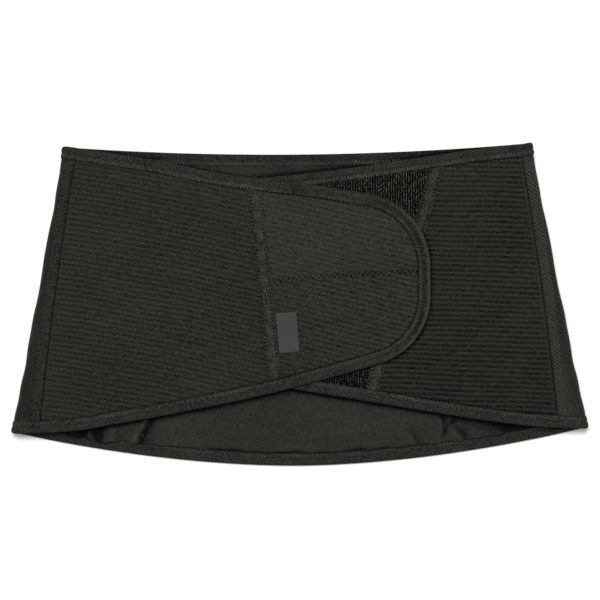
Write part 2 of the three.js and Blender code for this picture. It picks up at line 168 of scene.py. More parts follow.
# How a crease lies: its bend, over which lengths it starts, over which shares of its length it ends, the
# valley's depth and its spread to both sides, and the ridge's place and spread, in crease widths
CREASE = {"bend": 2.2, "starts": (-12, 3), "ends": (0.7, 1.15), "depth": 0.8, "valley": (0.7, 2),
          "ridge": (-1.7, 0.9)}

# The lining stands this much fuller from the pad's hip edge up to the flaps, though not at the sides
FULL_HEIGHT = 2.6
FULL_FROM = (-120, -94)
FULL_UNTIL = (-72, -30)
FULL_SIDES = (140, 185)

# Tone of the lining: plain, painted light on its creases' ridges and painted shade in their valleys,
# painted
# # shade at the hem's seam and in the flaps' shade, and its limits
LINING_TONE = {"plain": 0.55, "creases": 0.5, "hem": -1.1, "shade": -1.3, "limits": (-0.4, 1.1)}

# Tone of the outer face: plain, painted shade on the left and the right fold, and lighter beside the right
# seam
OUTER_TONE = {"plain": 0.5, "left": -0.3, "right": -0.6, "right_seam": 1.0}

# Where across the back the outer face begins to be uneven
OUTER_UNEVEN = (0.55, 1.0)

# How far the left flap's shade reaches past its edge on the lining, and on the right flap
LEFT_SHADE = 1.9
TAB_SHADE = 1.8

# The same for the right flap on the lining, with how much more towards its seam and where
RIGHT_SHADE = 3.0
RIGHT_SHADE_MORE = 1.6
RIGHT_SHADE_GROWS = (90, 150)

# How far both flaps' shade reaches on the waist tape, and how deep it is
WAIST_TAPE_SHADE = {"left": 2.4, "right": 2.8, "depth": 1.4}

# Meshes of the panels: the length across with its fine stretches at both ends, and the rows
PANEL_MESHES = {
    "left_flap": ((178, 8, 6), 350), "right_flap": ((130, 6, 12), 350), "tab": ((125, 6, 26), 270)}

# How far along the edge the corners of the tab's and of the loop face's mesh are from the tip
TAB_CORNER = 62.0
LOOP_CORNER = 55.0

# Points that a panel's border is drawn with: along the edge, on an upright side, and round the loop face
EDGE_POINTS, SIDE_POINTS, LOOP_POINTS = 400, 200, 300

# Where the ribs of a panel begin from the edge, and where it is slack from the edge and from its sides
RIBS_FROM_EDGE = (7, 12)
SLACK_FROM_EDGE = (6, 24)
SLACK_FROM_SIDE = (2, 18)

# How much a panel rises from its seam: the right flap only beside it, the others all over
PUFF_HEIGHT = 0.3
PUFF_RISES = (0, 1.6)
PUFF_ENDS = 3

# Depth and spread of the furrows in a panel: in its seam, along the tape's lip and under the stitch row
SEAM_FURROW = (1.5, 0.8)
LIP_FURROW = (0.5, 0.55)
ROW_FURROW = (1.0, 1.6)

# How far past the tape the lip's furrow is, and how much deeper on the tab
LIP_PAST_TAPE = 0.4
TAB_LIP_MORE = 1.5

# How far a panel's crests lie under its wall's face, and how far it may stand over the face
CREST_UNDER = 0.15
MOST_OVER = 0.2

# How deep the ribs are on the underside
UNDER_RIBS = 0.25

# How strongly the ribs show as painted light on their crests and painted shade in their valleys, with its
# # limits, and how much longer than high the breaks in them are
RIBS_CLEAR = 0.85
CLEAR_LIMITS = (0.4, 1.4)
BREAKS_LONGER = 2.4

# How much less the ribs' painted light and shade show towards the left flap's waist edge, and between
# # which heights
LEFT_RIB_SHADE_LESS = 0.15
LEFT_RIB_SHADE_LESS_FROM = (0, 60)

# How strongly the ribs' painted light and shade show on the tab, and how much more over the hook face
TAB_CLEAR = 0.62
HOOK_CLEARER = 0.36

# A panel's tone has a painted highlight beside a seam and painted shade in a furrow, and is lighter towards
# # the waist between these heights
SEAM_LIGHTER = 0.4
FURROW_DARKER = 0.9
WAIST_LIGHTER_FROM = (-60, 90)
PANEL_LIMITS = (-0.7, 1.3)

# Uneven waves in the cloth: how much they change, their length in millimetres and the seed of their draws
WAVES = {
    "lining": (0.35, 46, 3),
    "outer_face": (0.35, 34, 5),
    "hem_roll": (0.25, 24, 6),
    "slack": (0.18, 70, 11),
    "dents": (0.072, 18, 12),
    "rib_bends": (0.1, 70, 21),
    "rib_shakes": (0.025, 15, 22),
    "rib_breaks": (0.25, 12, 23),
    "tape_full": (0.14, 23, 0),
    "tape_sway": (0.25, 19, 10),
    "tape_pull": (0.14, 5, 20),
    "band_sway": (0.12, 27, 0),
    "band_lift": (0.05, 19, 5),
    "band_tone": (0.15, 13, 8),
    "side_tape": (0.08, 23, 0),
    "loop_ground": (0.05, 17, 51),
    "label": (0.05, 14, 61),
}

# Section of a folded tape on one of its faces: distance in from the edge, height off the wall's middle
TAPE_OUTSIDE = [
    (0.0, 0.0), (0.05, 0.55), (0.25, 1.1), (0.65, 1.6), (1.3, 2.02), (2.2, 2.24), (3.2, 2.24), (4.2, 2.1),
    (5.1, 1.86), (5.9, 1.74), (6.7, 1.82), (7.6, 1.94), (8.4, 1.98), (8.9, 1.9), (9.2, 1.66),
]
TAPE_INSIDE = [(9.1, 1.4), (6.0, 1.38), (2.5, 1.36), (0.95, 1.1)]

# Where the zigzag runs on a tape, and the heights of its thread on the upper and the lower face
STITCH_LINE = 7.4
STITCH_TOP = 1.92
STITCH_UNDER = -1.8

# How far the flaps' tapes, and the flaps themselves, run on past the side seams
LAPPED = 1.1
SEAM_LAP = 0.36

# Steps of a tape's mesh
TAPE_STEP = 1.3

# Spread of the stitches' pull on a tape, and the place and spread of its fullness
PULL_SPREAD = 2.2
FULL_ROLL = (3, 3)

# How long a tape's ends lie still, and its least height over the floor
STILL_ENDS = 4
OFF_FLOOR = 0.05

# A tape's tone by the distance from its edge: painted highlight on the roll, painted shade at the rim, in
# # the groove and under the lip
TAPE_TONE = {"inset": (0, 0.6, 1.4, 3.0, 5.0, 5.9, 7.0, 8.4, 9.0, 9.2),
             "tone": (0.3, 0.5, 0.62, 0.6, 0.5, 0.4, 0.5, 0.55, 0.3, -0.1)}

# Round the tab the tape has a painted highlight on its rim and painted shade in a groove: how much, how far
# # in, and their spread
TAB_RIM_FROM = (50, 95)
TAB_RIM = (1.3, 1.1, 1.1)
TAB_GROOVE = (0.5, 5.2, 1.7)

# How much darker the waist tape's rim is, and how far in that ends
WAIST_RIM = 0.25
WAIST_RIM_ENDS = (3, 6)

# Zigzag row across the tab
TAB_ROW = [(-17.5, 18.4), (-6.3, 20.0), (5.2, 20.9), (23, 22.0), (46.9, 23.2), (70, 23.8), (89.6, 24.8)]

# Steps of that row, and its half width and its thread beside those of the tapes' zigzag
ROW_STEP = 2.05
ROW_HALF = 0.55
ROW_THREAD = 1.1

# How far that row lies under the tab's face, and the length over which its furrow ends
ROW_UNDER = 0.3
ROW_ENDS = 3

# Where the hook face under the tab begins to show through, from its left and from its upper edge
HOOK_SIDE = (11, 17)
HOOK_TOP = (17, 25)

# Half of a seam band's section, as distance from its middle and height, and its least height
BAND_SECTION = [(0.7, 0.74), (2, 0.68), (3.2, 0.54), (4.1, 0.42), (4.8, 0.4), (5.3, 0.26), (5.5, 0.05)]
BAND_LEAST = 0.05

# Stitch rows of a band: their distance from its middle, their height, and their pull's depth and spread
BAND_ROW = 3.7
BAND_ROW_HEIGHT = 0.36
BAND_PULL = (0.3, 0.8)

# Rows of a band's mesh, and how many places along its line are tried for its ends
BAND_MESH_ROWS = 220
BAND_TRIES = 2301

# Tone of a band: plain, painted shade where its stitches pull and on its turned edges, lighter right of its
# # middle, its limits
BAND_TONE = {"plain": 0.5, "pull": -2.4, "edge": -0.7, "right": 0.25, "limits": (-0.3, 1.2)}
BAND_EDGE = 5
BAND_RIGHT = (-1, 1.5)

# What the left and the right side tape's tone has more than the plain one
SIDE_TAPE_TONE = {-1: -0.18, 1: 0.22}

# Height of a side tape at its edges and inside, as shares of a band's, and how far in that is
SIDE_TAPE_CROWN = (0.2, 0.9)
SIDE_TAPE_EDGE = 1.3

# Columns and rows of a side tape's mesh
SIDE_TAPE_MESH = (14, 150)

# How much thinner a stitch's ends are, how high its middle stands and how far its ends sink, in threads
STITCH_THINS = 0.35
STITCH_STANDS = 0.35
STITCH_SINKS = 0.9

# How much a zigzag sways, and how much of a running stitch's step its thread takes
STITCH_SWAY = 0.12
STITCH_SHARE = 0.78

# Least and greatest width of the needle holes, as shares of the needle's, and their depth
HOLE_WIDTHS = (0.7, 1.15)
HOLE_DEPTH = 0.6

# A way in which the face of no pricked cloth points
NO_FACE = (0.0, 1.0, 0.05)

# Holes along a tape's lip: their distance in zigzag steps, how far past the tape and under the face
HOLE_STEPS = 2.6
HOLE_PAST_TAPE = 0.55
HOLE_UNDER = 0.5

# Where the closure's loops are set, across and up, and their pitch up as a share of that across
LOOPS_ACROSS = (5, 112)
LOOPS_UP = (-70, 118)
LOOP_ROWS = 0.8

# How far the loops run on under the tab, the tape and the band
LOOPS_UNDER_TAB = 3
LOOPS_UNDER_TAPE = 0.6
LOOPS_UNDER_BAND = 0.4

# Least and greatest widths and heights of the loops, and their thickness as a share of the width
LOOP_WIDTHS = (0.9, 1.5)
LOOP_HEIGHTS = (0.5, 1.1)
LOOP_THICK = 0.75

# How uneven the loops' places, turns and lean are
LOOP_PLACES = 0.14
LOOP_TURNS = 0.35
LOOP_LEAN = 0.18

# The loops' tone in the upper corner and, as painted shadow of the tab, in the lower corner, and how uneven
# it is
LOOP_TONES = (0.58, 0.0)
LOOP_UNEVEN = 0.42

# How far the loops' feet and their ground lie under the wall's face
LOOP_UNDER = 0.36
LOOP_GROUND_UNDER = 0.35

# The label's rise to its right edge and over its middle, and its hem's height, place and spread
LABEL_RISE = 0.25
LABEL_BULGE = 0.1
LABEL_HEM = (0.1, 1.1, 0.6)

# The label's thickness at its rim and inside, as shares of the full one
LABEL_THICK = (0.5, 0.85)

# The height that parts an edge's hip stretch from its waist stretch
MID_HEIGHT = 20

# A distance further than any effect reaches
FAR_OFF = 99.0

# Places and widths of the two lights, and the floor's width
KEY_LIGHT = ((-0.15, 0.55, 2.2), 0.7)
FILL_LIGHT = ((1.5, -0.5, 1.3), 1.0)
FLOOR_WIDTH = 12

rng = np.random.default_rng(7)


# What a user would change

def size(name, description, default):
    return FloatProperty(
        name=name, description=description, default=default, min=0, unit="LENGTH", precision=5)


def colour(name, description, default):
    return FloatVectorProperty(
        name=name, description=description, default=default, size=3, min=0, max=1, subtype="COLOR")


class BeltSizes(bpy.types.PropertyGroup):
    """Sizes of the cloth's own detail"""

    rib_pitch: size("Rib pitch", "From one rib of the elastic to the next", 0.0038)
    rib_depth: size("Rib depth", "From the crest of a rib to the valley beside it", 0.0005)
    zigzag_step: size("Zigzag step", "Along the tape from one turn of the zigzag to the next", 0.00128)
    zigzag_width: size("Zigzag width", "Across the zigzag that holds the tape", 0.0034)
    running_step: size("Running step", "From one running stitch to the next", 0.0027)
    thread: size("Thread", "Thickness of the sewing thread", 0.00055)
    needle: size("Needle", "Width of the hole that the needle leaves", 0.0015)
    loop_pitch: size("Loop pitch", "From one row of the closure's loops to the next", 0.0019)


class BeltColours(bpy.types.PropertyGroup):
    """Colours of the cloth"""

    elastic: colour("Elastic", "Ribbed elastic of the left flap", (0.0165, 0.0157, 0.0126))
    tab: colour("Tab", "Elastic of the tab, which is rubbed lighter", (0.0196, 0.0187, 0.0154))
    ribbed: colour("Ribbed", "Ribbed elastic of the right flap", (0.013, 0.0123, 0.0097))
    lining: colour("Lining", "Smooth cloth inside the back", (0.0182, 0.0172, 0.0139))
    # Its colour is the cloth's own black, darkened with painted shade for the folds, which turn away from
    # the light
    outside: colour("Outside", "Cloth of the back's outer face", (0.0155, 0.0145, 0.0118))
    tape: colour("Tape", "Bindings and the tape along the left side seam", (0.0174, 0.0166, 0.0136))
    side: colour("Side", "Tape along the right side seam", (0.0215, 0.0206, 0.017))
    band: colour("Band", "Seam bands", (0.0225, 0.0216, 0.018))
    thread: colour("Thread", "Sewing thread", (0.046, 0.0442, 0.0378))
    tab_thread: colour("Tab thread", "Sewing thread round the tab and on the hem", (0.036, 0.0346, 0.0292))
    # Needle holes are near black: painted shade inside them
    hole: colour("Hole", "Needle holes", (0.002, 0.002, 0.0017))
    # The loops' own black is lightened to this, as a painted highlight on their tops
    loop: colour("Loop", "Loops of the closure", (0.118, 0.1125, 0.086))
    # The ground is the cloth's own black darkened much further, as painted shade under the loops and behind
    # the hooks
    ground: colour("Ground", "Cloth under the loops and behind the hooks", (0.0016, 0.0016, 0.0013))
    label: colour("Label", "Bare woven label", (0.044, 0.0425, 0.043))
    floor: colour("Floor", "Plain floor", (0.9, 0.9, 0.9))


class BeltStage(bpy.types.PropertyGroup):
    """Camera and light"""

    lens: FloatProperty(name="Lens", description="Focal length in millimetres", default=120, min=10)
    view_width: size("View width", "What the picture shows from side to side", 0.4592)
    aim: FloatVectorProperty(
        name="Aim", description="What the camera looks down on", default=(0.001, 0.0041), size=2,
        unit="LENGTH")
    roll: FloatProperty(
        name="Roll", description="Turn of the picture", default=math.radians(0.5), subtype="ANGLE")
    key: FloatProperty(
        name="Key light", description="Power of the light above the waist edge", default=50, min=0)
    fill: FloatProperty(name="Fill light", description="Power of the light on the right", default=8, min=0)
    sky: FloatProperty(name="Sky", description="Strength of the light from all round", default=0.3, min=0)


# Curves seen from above

def lerp(a, b, share):
    return a + (b - a) * share


def smoothstep(x, low, high):
    t = np.clip((x - low) / (high - low), 0, 1)
    return t * t * (3 - 2 * t)


def bump_at(x, middle, spread):
    return np.exp(-((x - middle) / spread) ** 2)


def ripple(x, y, length, seed):
    """Smooth uneven waves of about that length, from -1 to 1."""
    draws = np.random.default_rng(seed)
    total = np.zeros(np.broadcast(x, y).shape)
    count = 6
    for _ in range(count):
        turn = draws.uniform(0, math.tau)
        stretch = draws.uniform(0.7, 1.5) * math.tau / length
        start = draws.uniform(0, math.tau)
        total = total + np.sin(stretch * (x * math.cos(turn) + y * math.sin(turn)) + start)
    return total / math.sqrt(count)


def waves(name, x, y=0.0, seed=0):
    """The waves of that name at a place; pieces of one kind add a seed of their own."""
    height, length, own_seed = WAVES[name]
    return height * ripple(x, y, length, own_seed + seed)


def curve_through(points):
    """A smooth curve through the points, as the part's source draws it."""
    p = np.array(points, float)
    wide = np.vstack([p[:1], p, p[-1:]])
    t = np.linspace(0, 1, CURVE_STEPS, endpoint=False)[:, None]
    runs = []
    for i in range(len(p) - 1):
        p0, p1, p2, p3 = wide[i:i + 4]
        v0 = (p2 - p0) / 2
        v1 = (p3 - p1) / 2
        cubic = (2 * p1 - 2 * p2 + v0 + v1) * t ** 3
        square = (-3 * p1 + 3 * p2 - 2 * v0 - v1) * t ** 2
        runs.append(cubic + square + v0 * t + p1)
    return np.vstack([*runs, p[-1:]])


def arc_points(x, y, radius, start, end):
    turn = np.radians(np.linspace(start, end, CURVE_STEPS))
    return np.stack([x + radius * np.cos(turn), y + radius * np.sin(turn)], axis=1)


def lengths(points):
    """How far along a line each of its points is."""
    return np.concatenate([[0], np.cumsum(np.linalg.norm(np.diff(points, axis=0), axis=1))])


def evenly(points, step):
    """The same line with points a step apart."""
    far = lengths(points)
    keep = np.concatenate([[True], np.diff(far) > 1e-9])
    at = np.linspace(0, far[-1], max(2, round(far[-1] / step) + 1))
    return np.stack([np.interp(at, far[keep], points[keep, i]) for i in range(points.shape[1])], axis=1)


def directions(points):
    along = np.gradient(points, axis=0)
    return along / np.linalg.norm(along, axis=1, keepdims=True)


class EdgeLine:
    """An edge in space: its points, the way into the cloth and the way out of the cloth's face at each."""

    def __init__(self, points, inward, normal):
        self.points = points
        self.inward = inward
        self.normal = normal
        self.far = lengths(points)
        self.length = self.far[-1]

    def mix(self, values, station):
        return np.stack([np.interp(station, self.far, values[:, i]) for i in range(3)], axis=-1)

    def moved_in(self, inset):
        """The whole edge so far into the cloth, seen from above."""
        return (self.points + self.inward * inset)[:, :2]

    def at(self, station, inset, height):
        """Points at stations along the edge, so far into the cloth and so high off its middle."""
        station, inset, height = np.broadcast_arrays(station, inset, height)
        return (self.mix(self.points, station)
                + self.mix(self.inward, station) * inset[..., None]
                + self.mix(self.normal, station) * height[..., None])


def flap_edge(edge_in, arcs, edge_out, level):
    first, second = (arc_points(*row) for row in arcs)
    drawn = np.vstack([
        curve_through([*edge_in, first[0]]), first, second, curve_through([second[-1], *edge_out])])
    flat = evenly(drawn, EDGE_STEP)
    along = directions(flat)
    zero = np.zeros(len(flat))
    return EdgeLine(
        np.column_stack([flat, level(flat[:, 0])]),
        np.column_stack([-along[:, 1], along[:, 0], zero]),
        np.column_stack([zero, zero, zero + 1]))


def left_level(x):
    return lerp(FOLD_LEVEL, LEFT_LEVEL, smoothstep(x, *LEFT_SLOPE))


def right_level(x):
    return lerp(RIGHT_LEVEL, FOLD_LEVEL, smoothstep(x, *RIGHT_SLOPE))


def bow(share):
    return 4 * share * (1 - share)


def seam_share(seam, y):
    return (y - seam["bottom"][1]) / (seam["top"][1] - seam["bottom"][1])


def seam_reach(seam, share):
    """How far a side seam is from the belt's middle."""
    return lerp(seam["bottom"][0], seam["top"][0], share) + seam["bow"] * bow(share)


def seam_x(seam, y):
    return seam["side"] * (seam_reach(seam, seam_share(seam, y)) - GAP / 2)


def line_x(line, y):
    top, bottom = line
    return lerp(bottom[0], top[0], (y - bottom[1]) / (top[1] - bottom[1]))


LEFT_EDGE = flap_edge(LEFT_HIP_EDGE, TAB_ARCS, LEFT_WAIST_EDGE, left_level)
RIGHT_EDGE = flap_edge(RIGHT_WAIST_EDGE, COVERED_ARCS, RIGHT_HIP_EDGE, right_level)


def edge_run(edge, inset, inside):
    """First and last station of the stretch of an inset edge where inside(x, y) holds."""
    held = np.flatnonzero(inside(*edge.moved_in(inset).T))
    return edge.far[held[0]], edge.far[held[-1]]


def edge_distance(x, y, edge):
    """How far each point is from an edge seen from above."""
    border = edge.points[::EDGE_SKIP, :2]
    points = np.column_stack([x, y])
    near = np.empty(len(points))
    batch = 4000
    for start in range(0, len(points), batch):
        part = points[start:start + batch]
        near[start:start + batch] = np.linalg.norm(part[:, None, :] - border[None], axis=2).min(axis=1)
    return near


def shade_of(edge, points, reach):
    """How deep points lie in the shade of the flap with that edge: all under it, and less beside it."""
    near = edge_distance(points[:, 0], points[:, 1], edge)
    return np.where(contains(edge.points[::EDGE_SKIP, :2], points), 1, bump_at(near, 0, reach))


def contains(outline, points):
    """Which points lie inside a closed outline seen from above."""
    x, y = points[:, :1], points[:, 1:2]
    ax, ay = outline[:, 0], outline[:, 1]
    bx, by = np.roll(ax, -1), np.roll(ay, -1)
    rise = np.where(by == ay, 1e-9, by - ay)
    crossing = ((ay > y) != (by > y)) & (x < ax + (bx - ax) * (y - ay) / rise)
    return crossing.sum(axis=1) % 2 == 1


def upright(side, low, high):
    """A panel's side line, from the height of one point to that of the other."""
    y = np.linspace(low[1], high[1], SIDE_POINTS)
    return np.column_stack([side(y), y])


def patch(bottom, top, left, right, u, v):
    """Points of a patch between four border lines, each drawn from left to right or from bottom to top."""
    def on(line, share):
        far = lengths(line)
        return np.stack([np.interp(share * far[-1], far, line[:, i]) for i in range(2)], axis=-1)
    u1, v1 = u[:, None], v[:, None]
    corners = (1 - u1) * ((1 - v1) * bottom[0] + v1 * top[0]) + u1 * ((1 - v1) * bottom[-1] + v1 * top[-1])
    return (1 - v1) * on(bottom, u) + v1 * on(top, u) + (1 - u1) * on(left, v) + u1 * on(right, v) - corners


# The back, which turns up round both sides

def fold_axis(share):
    """How far from the belt's middle the axis of a side fold is."""
    outside = lerp(BOTTOM_CORNER[0], TOP_CORNER[0], share) - SIDE_BOW * bow(share)
    return outside - EDGE_INSET - WALL / 2 - FOLD_DEPTH


def back_point(across, share, edge_inset):
    """The back's middle surface, that far inside its bound edges."""
    across, share = np.broadcast_arrays(np.asarray(across, float), np.asarray(share, float))
    left = across < 0
    far = np.abs(across)
    pick = lambda get: np.where(left, get(LEFT_SEAM), get(RIGHT_SEAM))
    seam = pick(lambda s: seam_reach(s, share)) + GAP / 2
    axis = fold_axis(share)
    reach = axis + FOLD_DEPTH
    turn = math.pi * np.clip(far - FLAT, 0, 1)
    x = np.where(far <= FLAT, axis * far / FLAT, axis + FOLD_DEPTH * np.sin(turn))
    x = np.where(far > TURNED, lerp(axis, seam, far - TURNED), x)
    z = BACK_LEVEL + FOLD_HALF_HEIGHT * (1 - np.cos(turn))
    top = TOP_CORNER[1] - WAIST_DIP * (1 - (x / reach) ** WAIST_POWER)
    bottom = BOTTOM_CORNER[1] - HIP_DROP * (1 - (x / reach) ** HIP_POWER)
    over = far > OUTMOST
    to_seam = (reach - x) / (reach - seam)
    top = np.where(over, lerp(TOP_CORNER[1], pick(lambda s: s["top"][1]), to_seam), top)
    bottom = np.where(over, lerp(BOTTOM_CORNER[1], pick(lambda s: s["bottom"][1]), to_seam), bottom)
    y = lerp(bottom + edge_inset, top - edge_inset, share)
    return np.stack([np.where(left, -x, x), y, z], axis=-1)


def back_ways(across, share):
    """Directions of the back's surface: up towards the waist, and into the belt."""
    nudge = 0.001
    upper = np.minimum(share + nudge, 1)
    right = np.minimum(across + nudge, SEWN)
    up = back_point(across, upper, 0) - back_point(across, upper - nudge, 0)
    along = back_point(right, share, 0) - back_point(right - nudge, share, 0)
    up = up / np.linalg.norm(up, axis=-1, keepdims=True)
    inside = np.cross(along, up)
    return up, inside / np.linalg.norm(inside, axis=-1, keepdims=True)


def back_thickness(across, share):
    in_sides = 1 - smoothstep(np.abs(across), *PAD_ENDS)
    in_edges = smoothstep(np.minimum(share, 1 - share), *PAD_EDGES)
    return lerp(WALL, PAD, in_sides * in_edges)


def back_stations(leg_steps, fold_steps, flat_steps):
    return np.concatenate([
        np.linspace(-SEWN, -TURNED, leg_steps, endpoint=False),
        np.linspace(-TURNED, -FLAT, fold_steps, endpoint=False),
        np.linspace(-FLAT, FLAT, flat_steps, endpoint=False),
        np.linspace(FLAT, TURNED, fold_steps, endpoint=False),
        np.linspace(TURNED, SEWN, leg_steps + 1)])


def back_edge(share, way):
    across = back_stations(*BACK_EDGE_STEPS)
    up, inside = back_ways(across, np.full(len(across), float(share)))
    return EdgeLine(back_point(across, share, 0), up * way, inside)


BACK_WAIST_EDGE = back_edge(1, -1)
BACK_HIP_EDGE = back_edge(0, 1)


# Meshes

# Faces that meet at less than this angle are shaded as one
SMOOTH_UP_TO = math.radians(65)


def alone():
    bpy.ops.object.select_all(action="DESELECT")


def raised(x, y, z):
    """Points over places seen from above, all at one height or each at its own."""
    return np.column_stack([x, y, np.broadcast_to(z, np.shape(x))])


def upwards(count):
    return np.tile([0.0, 0.0, 1.0], (count, 1))


def stations(length, fine_start, fine_end):
    """Places from 0 to 1 along a length in millimetres, closest together near its two ends."""
    fine, coarse = 0.8, 2.0
    low, high = fine_start / length, 1 - fine_end / length
    return np.concatenate([
        np.linspace(0, low, round(fine_start / fine), endpoint=False),
        np.linspace(low, high, round((high - low) * length / coarse), endpoint=False),
        np.linspace(high, 1, round(fine_end / fine) + 1)])


def start_grid(name, columns, rows):
    """A grid primitive, alone and active, with the column and the row of each of its vertices."""
    alone()
    bpy.ops.mesh.primitive_grid_add(x_subdivisions=columns, y_subdivisions=rows, size=1)
    piece = bpy.context.object
    piece.name = name
    piece.data.name = name
    flat = read_points(piece)
    column = np.rint((flat[:, 0] + 0.5) * columns).astype(int)
    row = np.rint((flat[:, 1] + 0.5) * rows).astype(int)
    return piece, column, row


def read_points(piece):
    points = np.empty(len(piece.data.vertices) * 3, np.float32)
    piece.data.vertices.foreach_get("co", points)
    return points.reshape(-1, 3).astype(float)


def place(piece, points):
    """Moves the vertices to places given in millimetres."""
    piece.data.vertices.foreach_set("co", np.ascontiguousarray(points * MM, np.float32).ravel())
    piece.data.update()


def thicken(piece, upper, lower):
    """Makes the sheet a closed cloth: its own layer goes to upper, and a second one to lower."""
    faces = len(piece.data.polygons)
    bpy.ops.object.modifier_add(type="SOLIDIFY")
    wall = piece.modifiers[-1]
    wall.thickness = MM
    wall.offset = -1
    bpy.ops.object.modifier_apply(modifier=wall.name)
    place(piece, np.vstack([upper, lower]))
    return faces


def set_uv(piece, along, across):
    """Writes lengths along and across the cloth, in metres, as the piece's UV map."""
    mesh = piece.data
    corners = np.empty(len(mesh.loops), np.int32)
    mesh.loops.foreach_get("vertex_index", corners)
    flat = np.stack([along, across], axis=1)[corners] * MM
    mesh.uv_layers[0].uv.foreach_set("vector", np.ascontiguousarray(flat, np.float32).ravel())


def set_painted_light_and_tone(piece, values):
    """Keeps each vertex's tone for the material, painted light and shade among it: 0.5 is plain, more is
    lighter and less is darker.
    """
    layer = piece.data.attributes.new("painted_light_and_tone", "FLOAT", "POINT")
    layer.data.foreach_set("value", np.ascontiguousarray(values, np.float32))


def finish_piece(piece, slot_name, *materials, replaced=()):
    """Smooths a piece, dresses it and lets it ride on the belt."""
    alone()
    piece.select_set(True)
    bpy.context.view_layer.objects.active = piece
    bpy.ops.object.shade_smooth_by_angle(angle=SMOOTH_UP_TO)
    piece.data.materials.clear()
    for material in materials:
        piece.data.materials.append(material)
    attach(piece, "root")
    if replaced:
        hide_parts(*replaced)
    return piece


def face_outwards():
    """Turns the active piece's faces outwards."""
    bpy.ops.object.mode_set(mode="EDIT")
    bpy.ops.mesh.select_all(action="SELECT")
    bpy.ops.mesh.normals_make_consistent(inside=False)
    bpy.ops.object.mode_set(mode="OBJECT")


def close_tube():
    """Joins the first and last rows of a tube that began as a grid, and closes its two ends."""
    bpy.ops.object.mode_set(mode="EDIT")
    bpy.ops.mesh.select_all(action="SELECT")
    bpy.ops.mesh.remove_doubles(threshold=1e-6)
    bpy.ops.mesh.select_all(action="SELECT")
    bpy.ops.mesh.fill_holes(sides=0)
    bpy.ops.object.mode_set(mode="OBJECT")
    face_outwards()


# Shader node groups

# Twill: the pitch of the crossing threads as a share of the lines', and how deep they break the lines
CROSSING_PITCH = 0.55
CROSSING_DEPTH = 0.35

# Which values of the noise become 0 and 1, and the lint's size beside the grain's
GRAIN_RANGE = (0.28, 0.72)
PATCH_RANGE = (0.3, 0.7)
LINT_RANGE = (0.75, 0.8)
LINT_SIZE = 2.3

# How much lighter lint is, the darkest tone, and the roughness between a dark and a light tone
LINT_LIGHTER = 0.5
DARKEST = 0.08
ROUGHNESS = {1: 0.4, 2: 1.6, 3: 0.96, 4: 0.78}


def put(tree, kind, inputs, **settings):
    """Adds a node, with each input linked from a socket or set to a value."""
    made = tree.nodes.new(kind)
    for key, value in settings.items():
        setattr(made, key, value)
    for key, value in inputs.items():
        if isinstance(value, bpy.types.NodeSocket):
            tree.links.new(value, made.inputs[key])
        else:
            made.inputs[key].default_value = value
    return made


def maths(tree, operation, a, b=0.0):
    return put(tree, "ShaderNodeMath", {0: a, 1: b}, operation=operation).outputs[0]


def new_group(name, inputs, outputs):
    """An empty node group with named sockets, and its input and output nodes."""
    group = bpy.data.node_groups.new(name, "ShaderNodeTree")
    for label, kind, default in inputs:
        made = group.interface.new_socket(name=label, in_out="INPUT", socket_type=kind)
        if default is not None:
            made.default_value = default
    for label, kind in outputs:
        group.interface.new_socket(name=label, in_out="OUTPUT", socket_type=kind)
    return group, group.nodes.new("NodeGroupInput").outputs, group.nodes.new("NodeGroupOutput")


def wave_of(tree, length, pitch):
    """A wave from 0 to 1 over a length, with that pitch."""
    turns = maths(tree, "MULTIPLY", maths(tree, "DIVIDE", length, pitch), math.tau)
    half = maths(tree, "MULTIPLY", maths(tree, "SINE", turns), 0.5)
    return maths(tree, "ADD", half, 0.5)


def crossed_threads_group():
    """Warp and weft that pass over and under each other."""
    group, given, out = new_group(
        "crossed threads",
        [("Vector", "NodeSocketVector", None), ("Warp", "NodeSocketFloat", 0.001),
         ("Weft", "NodeSocketFloat", 0.001)],
        [("Height", "NodeSocketFloat")])
    part = put(group, "ShaderNodeSeparateXYZ", {0: given["Vector"]}).outputs
    warp = wave_of(group, part["X"], given["Warp"])
    weft = wave_of(group, part["Y"], given["Weft"])
    same = maths(group, "MULTIPLY", warp, weft)
    no_warp = maths(group, "SUBTRACT", 1.0, warp)
    no_weft = maths(group, "SUBTRACT", 1.0, weft)
    other = maths(group, "MULTIPLY", no_warp, no_weft)
    group.links.new(maths(group, "ADD", same, other), out.inputs["Height"])
    return group


def twill_group():
    """Slanting lines of twill, broken by the threads that cross them."""
    group, given, out = new_group(
        "twill",
        [("Vector", "NodeSocketVector", None), ("Pitch", "NodeSocketFloat", 0.002),
         ("Slant", "NodeSocketFloat", 1.0)],
        [("Height", "NodeSocketFloat")])
    part = put(group, "ShaderNodeSeparateXYZ", {0: given["Vector"]}).outputs
    slanted = maths(group, "ADD", part["X"], maths(group, "MULTIPLY", part["Y"], given["Slant"]))
    back = maths(group, "SUBTRACT", part["X"], maths(group, "MULTIPLY", part["Y"], given["Slant"]))
    lines = wave_of(group, slanted, given["Pitch"])
    threads = wave_of(group, back, maths(group, "MULTIPLY", given["Pitch"], CROSSING_PITCH))
    broken = maths(group, "ADD", maths(group, "MULTIPLY", threads, CROSSING_DEPTH), 1 - CROSSING_DEPTH)
    group.links.new(maths(group, "MULTIPLY", lines, broken), out.inputs["Height"])
    return group


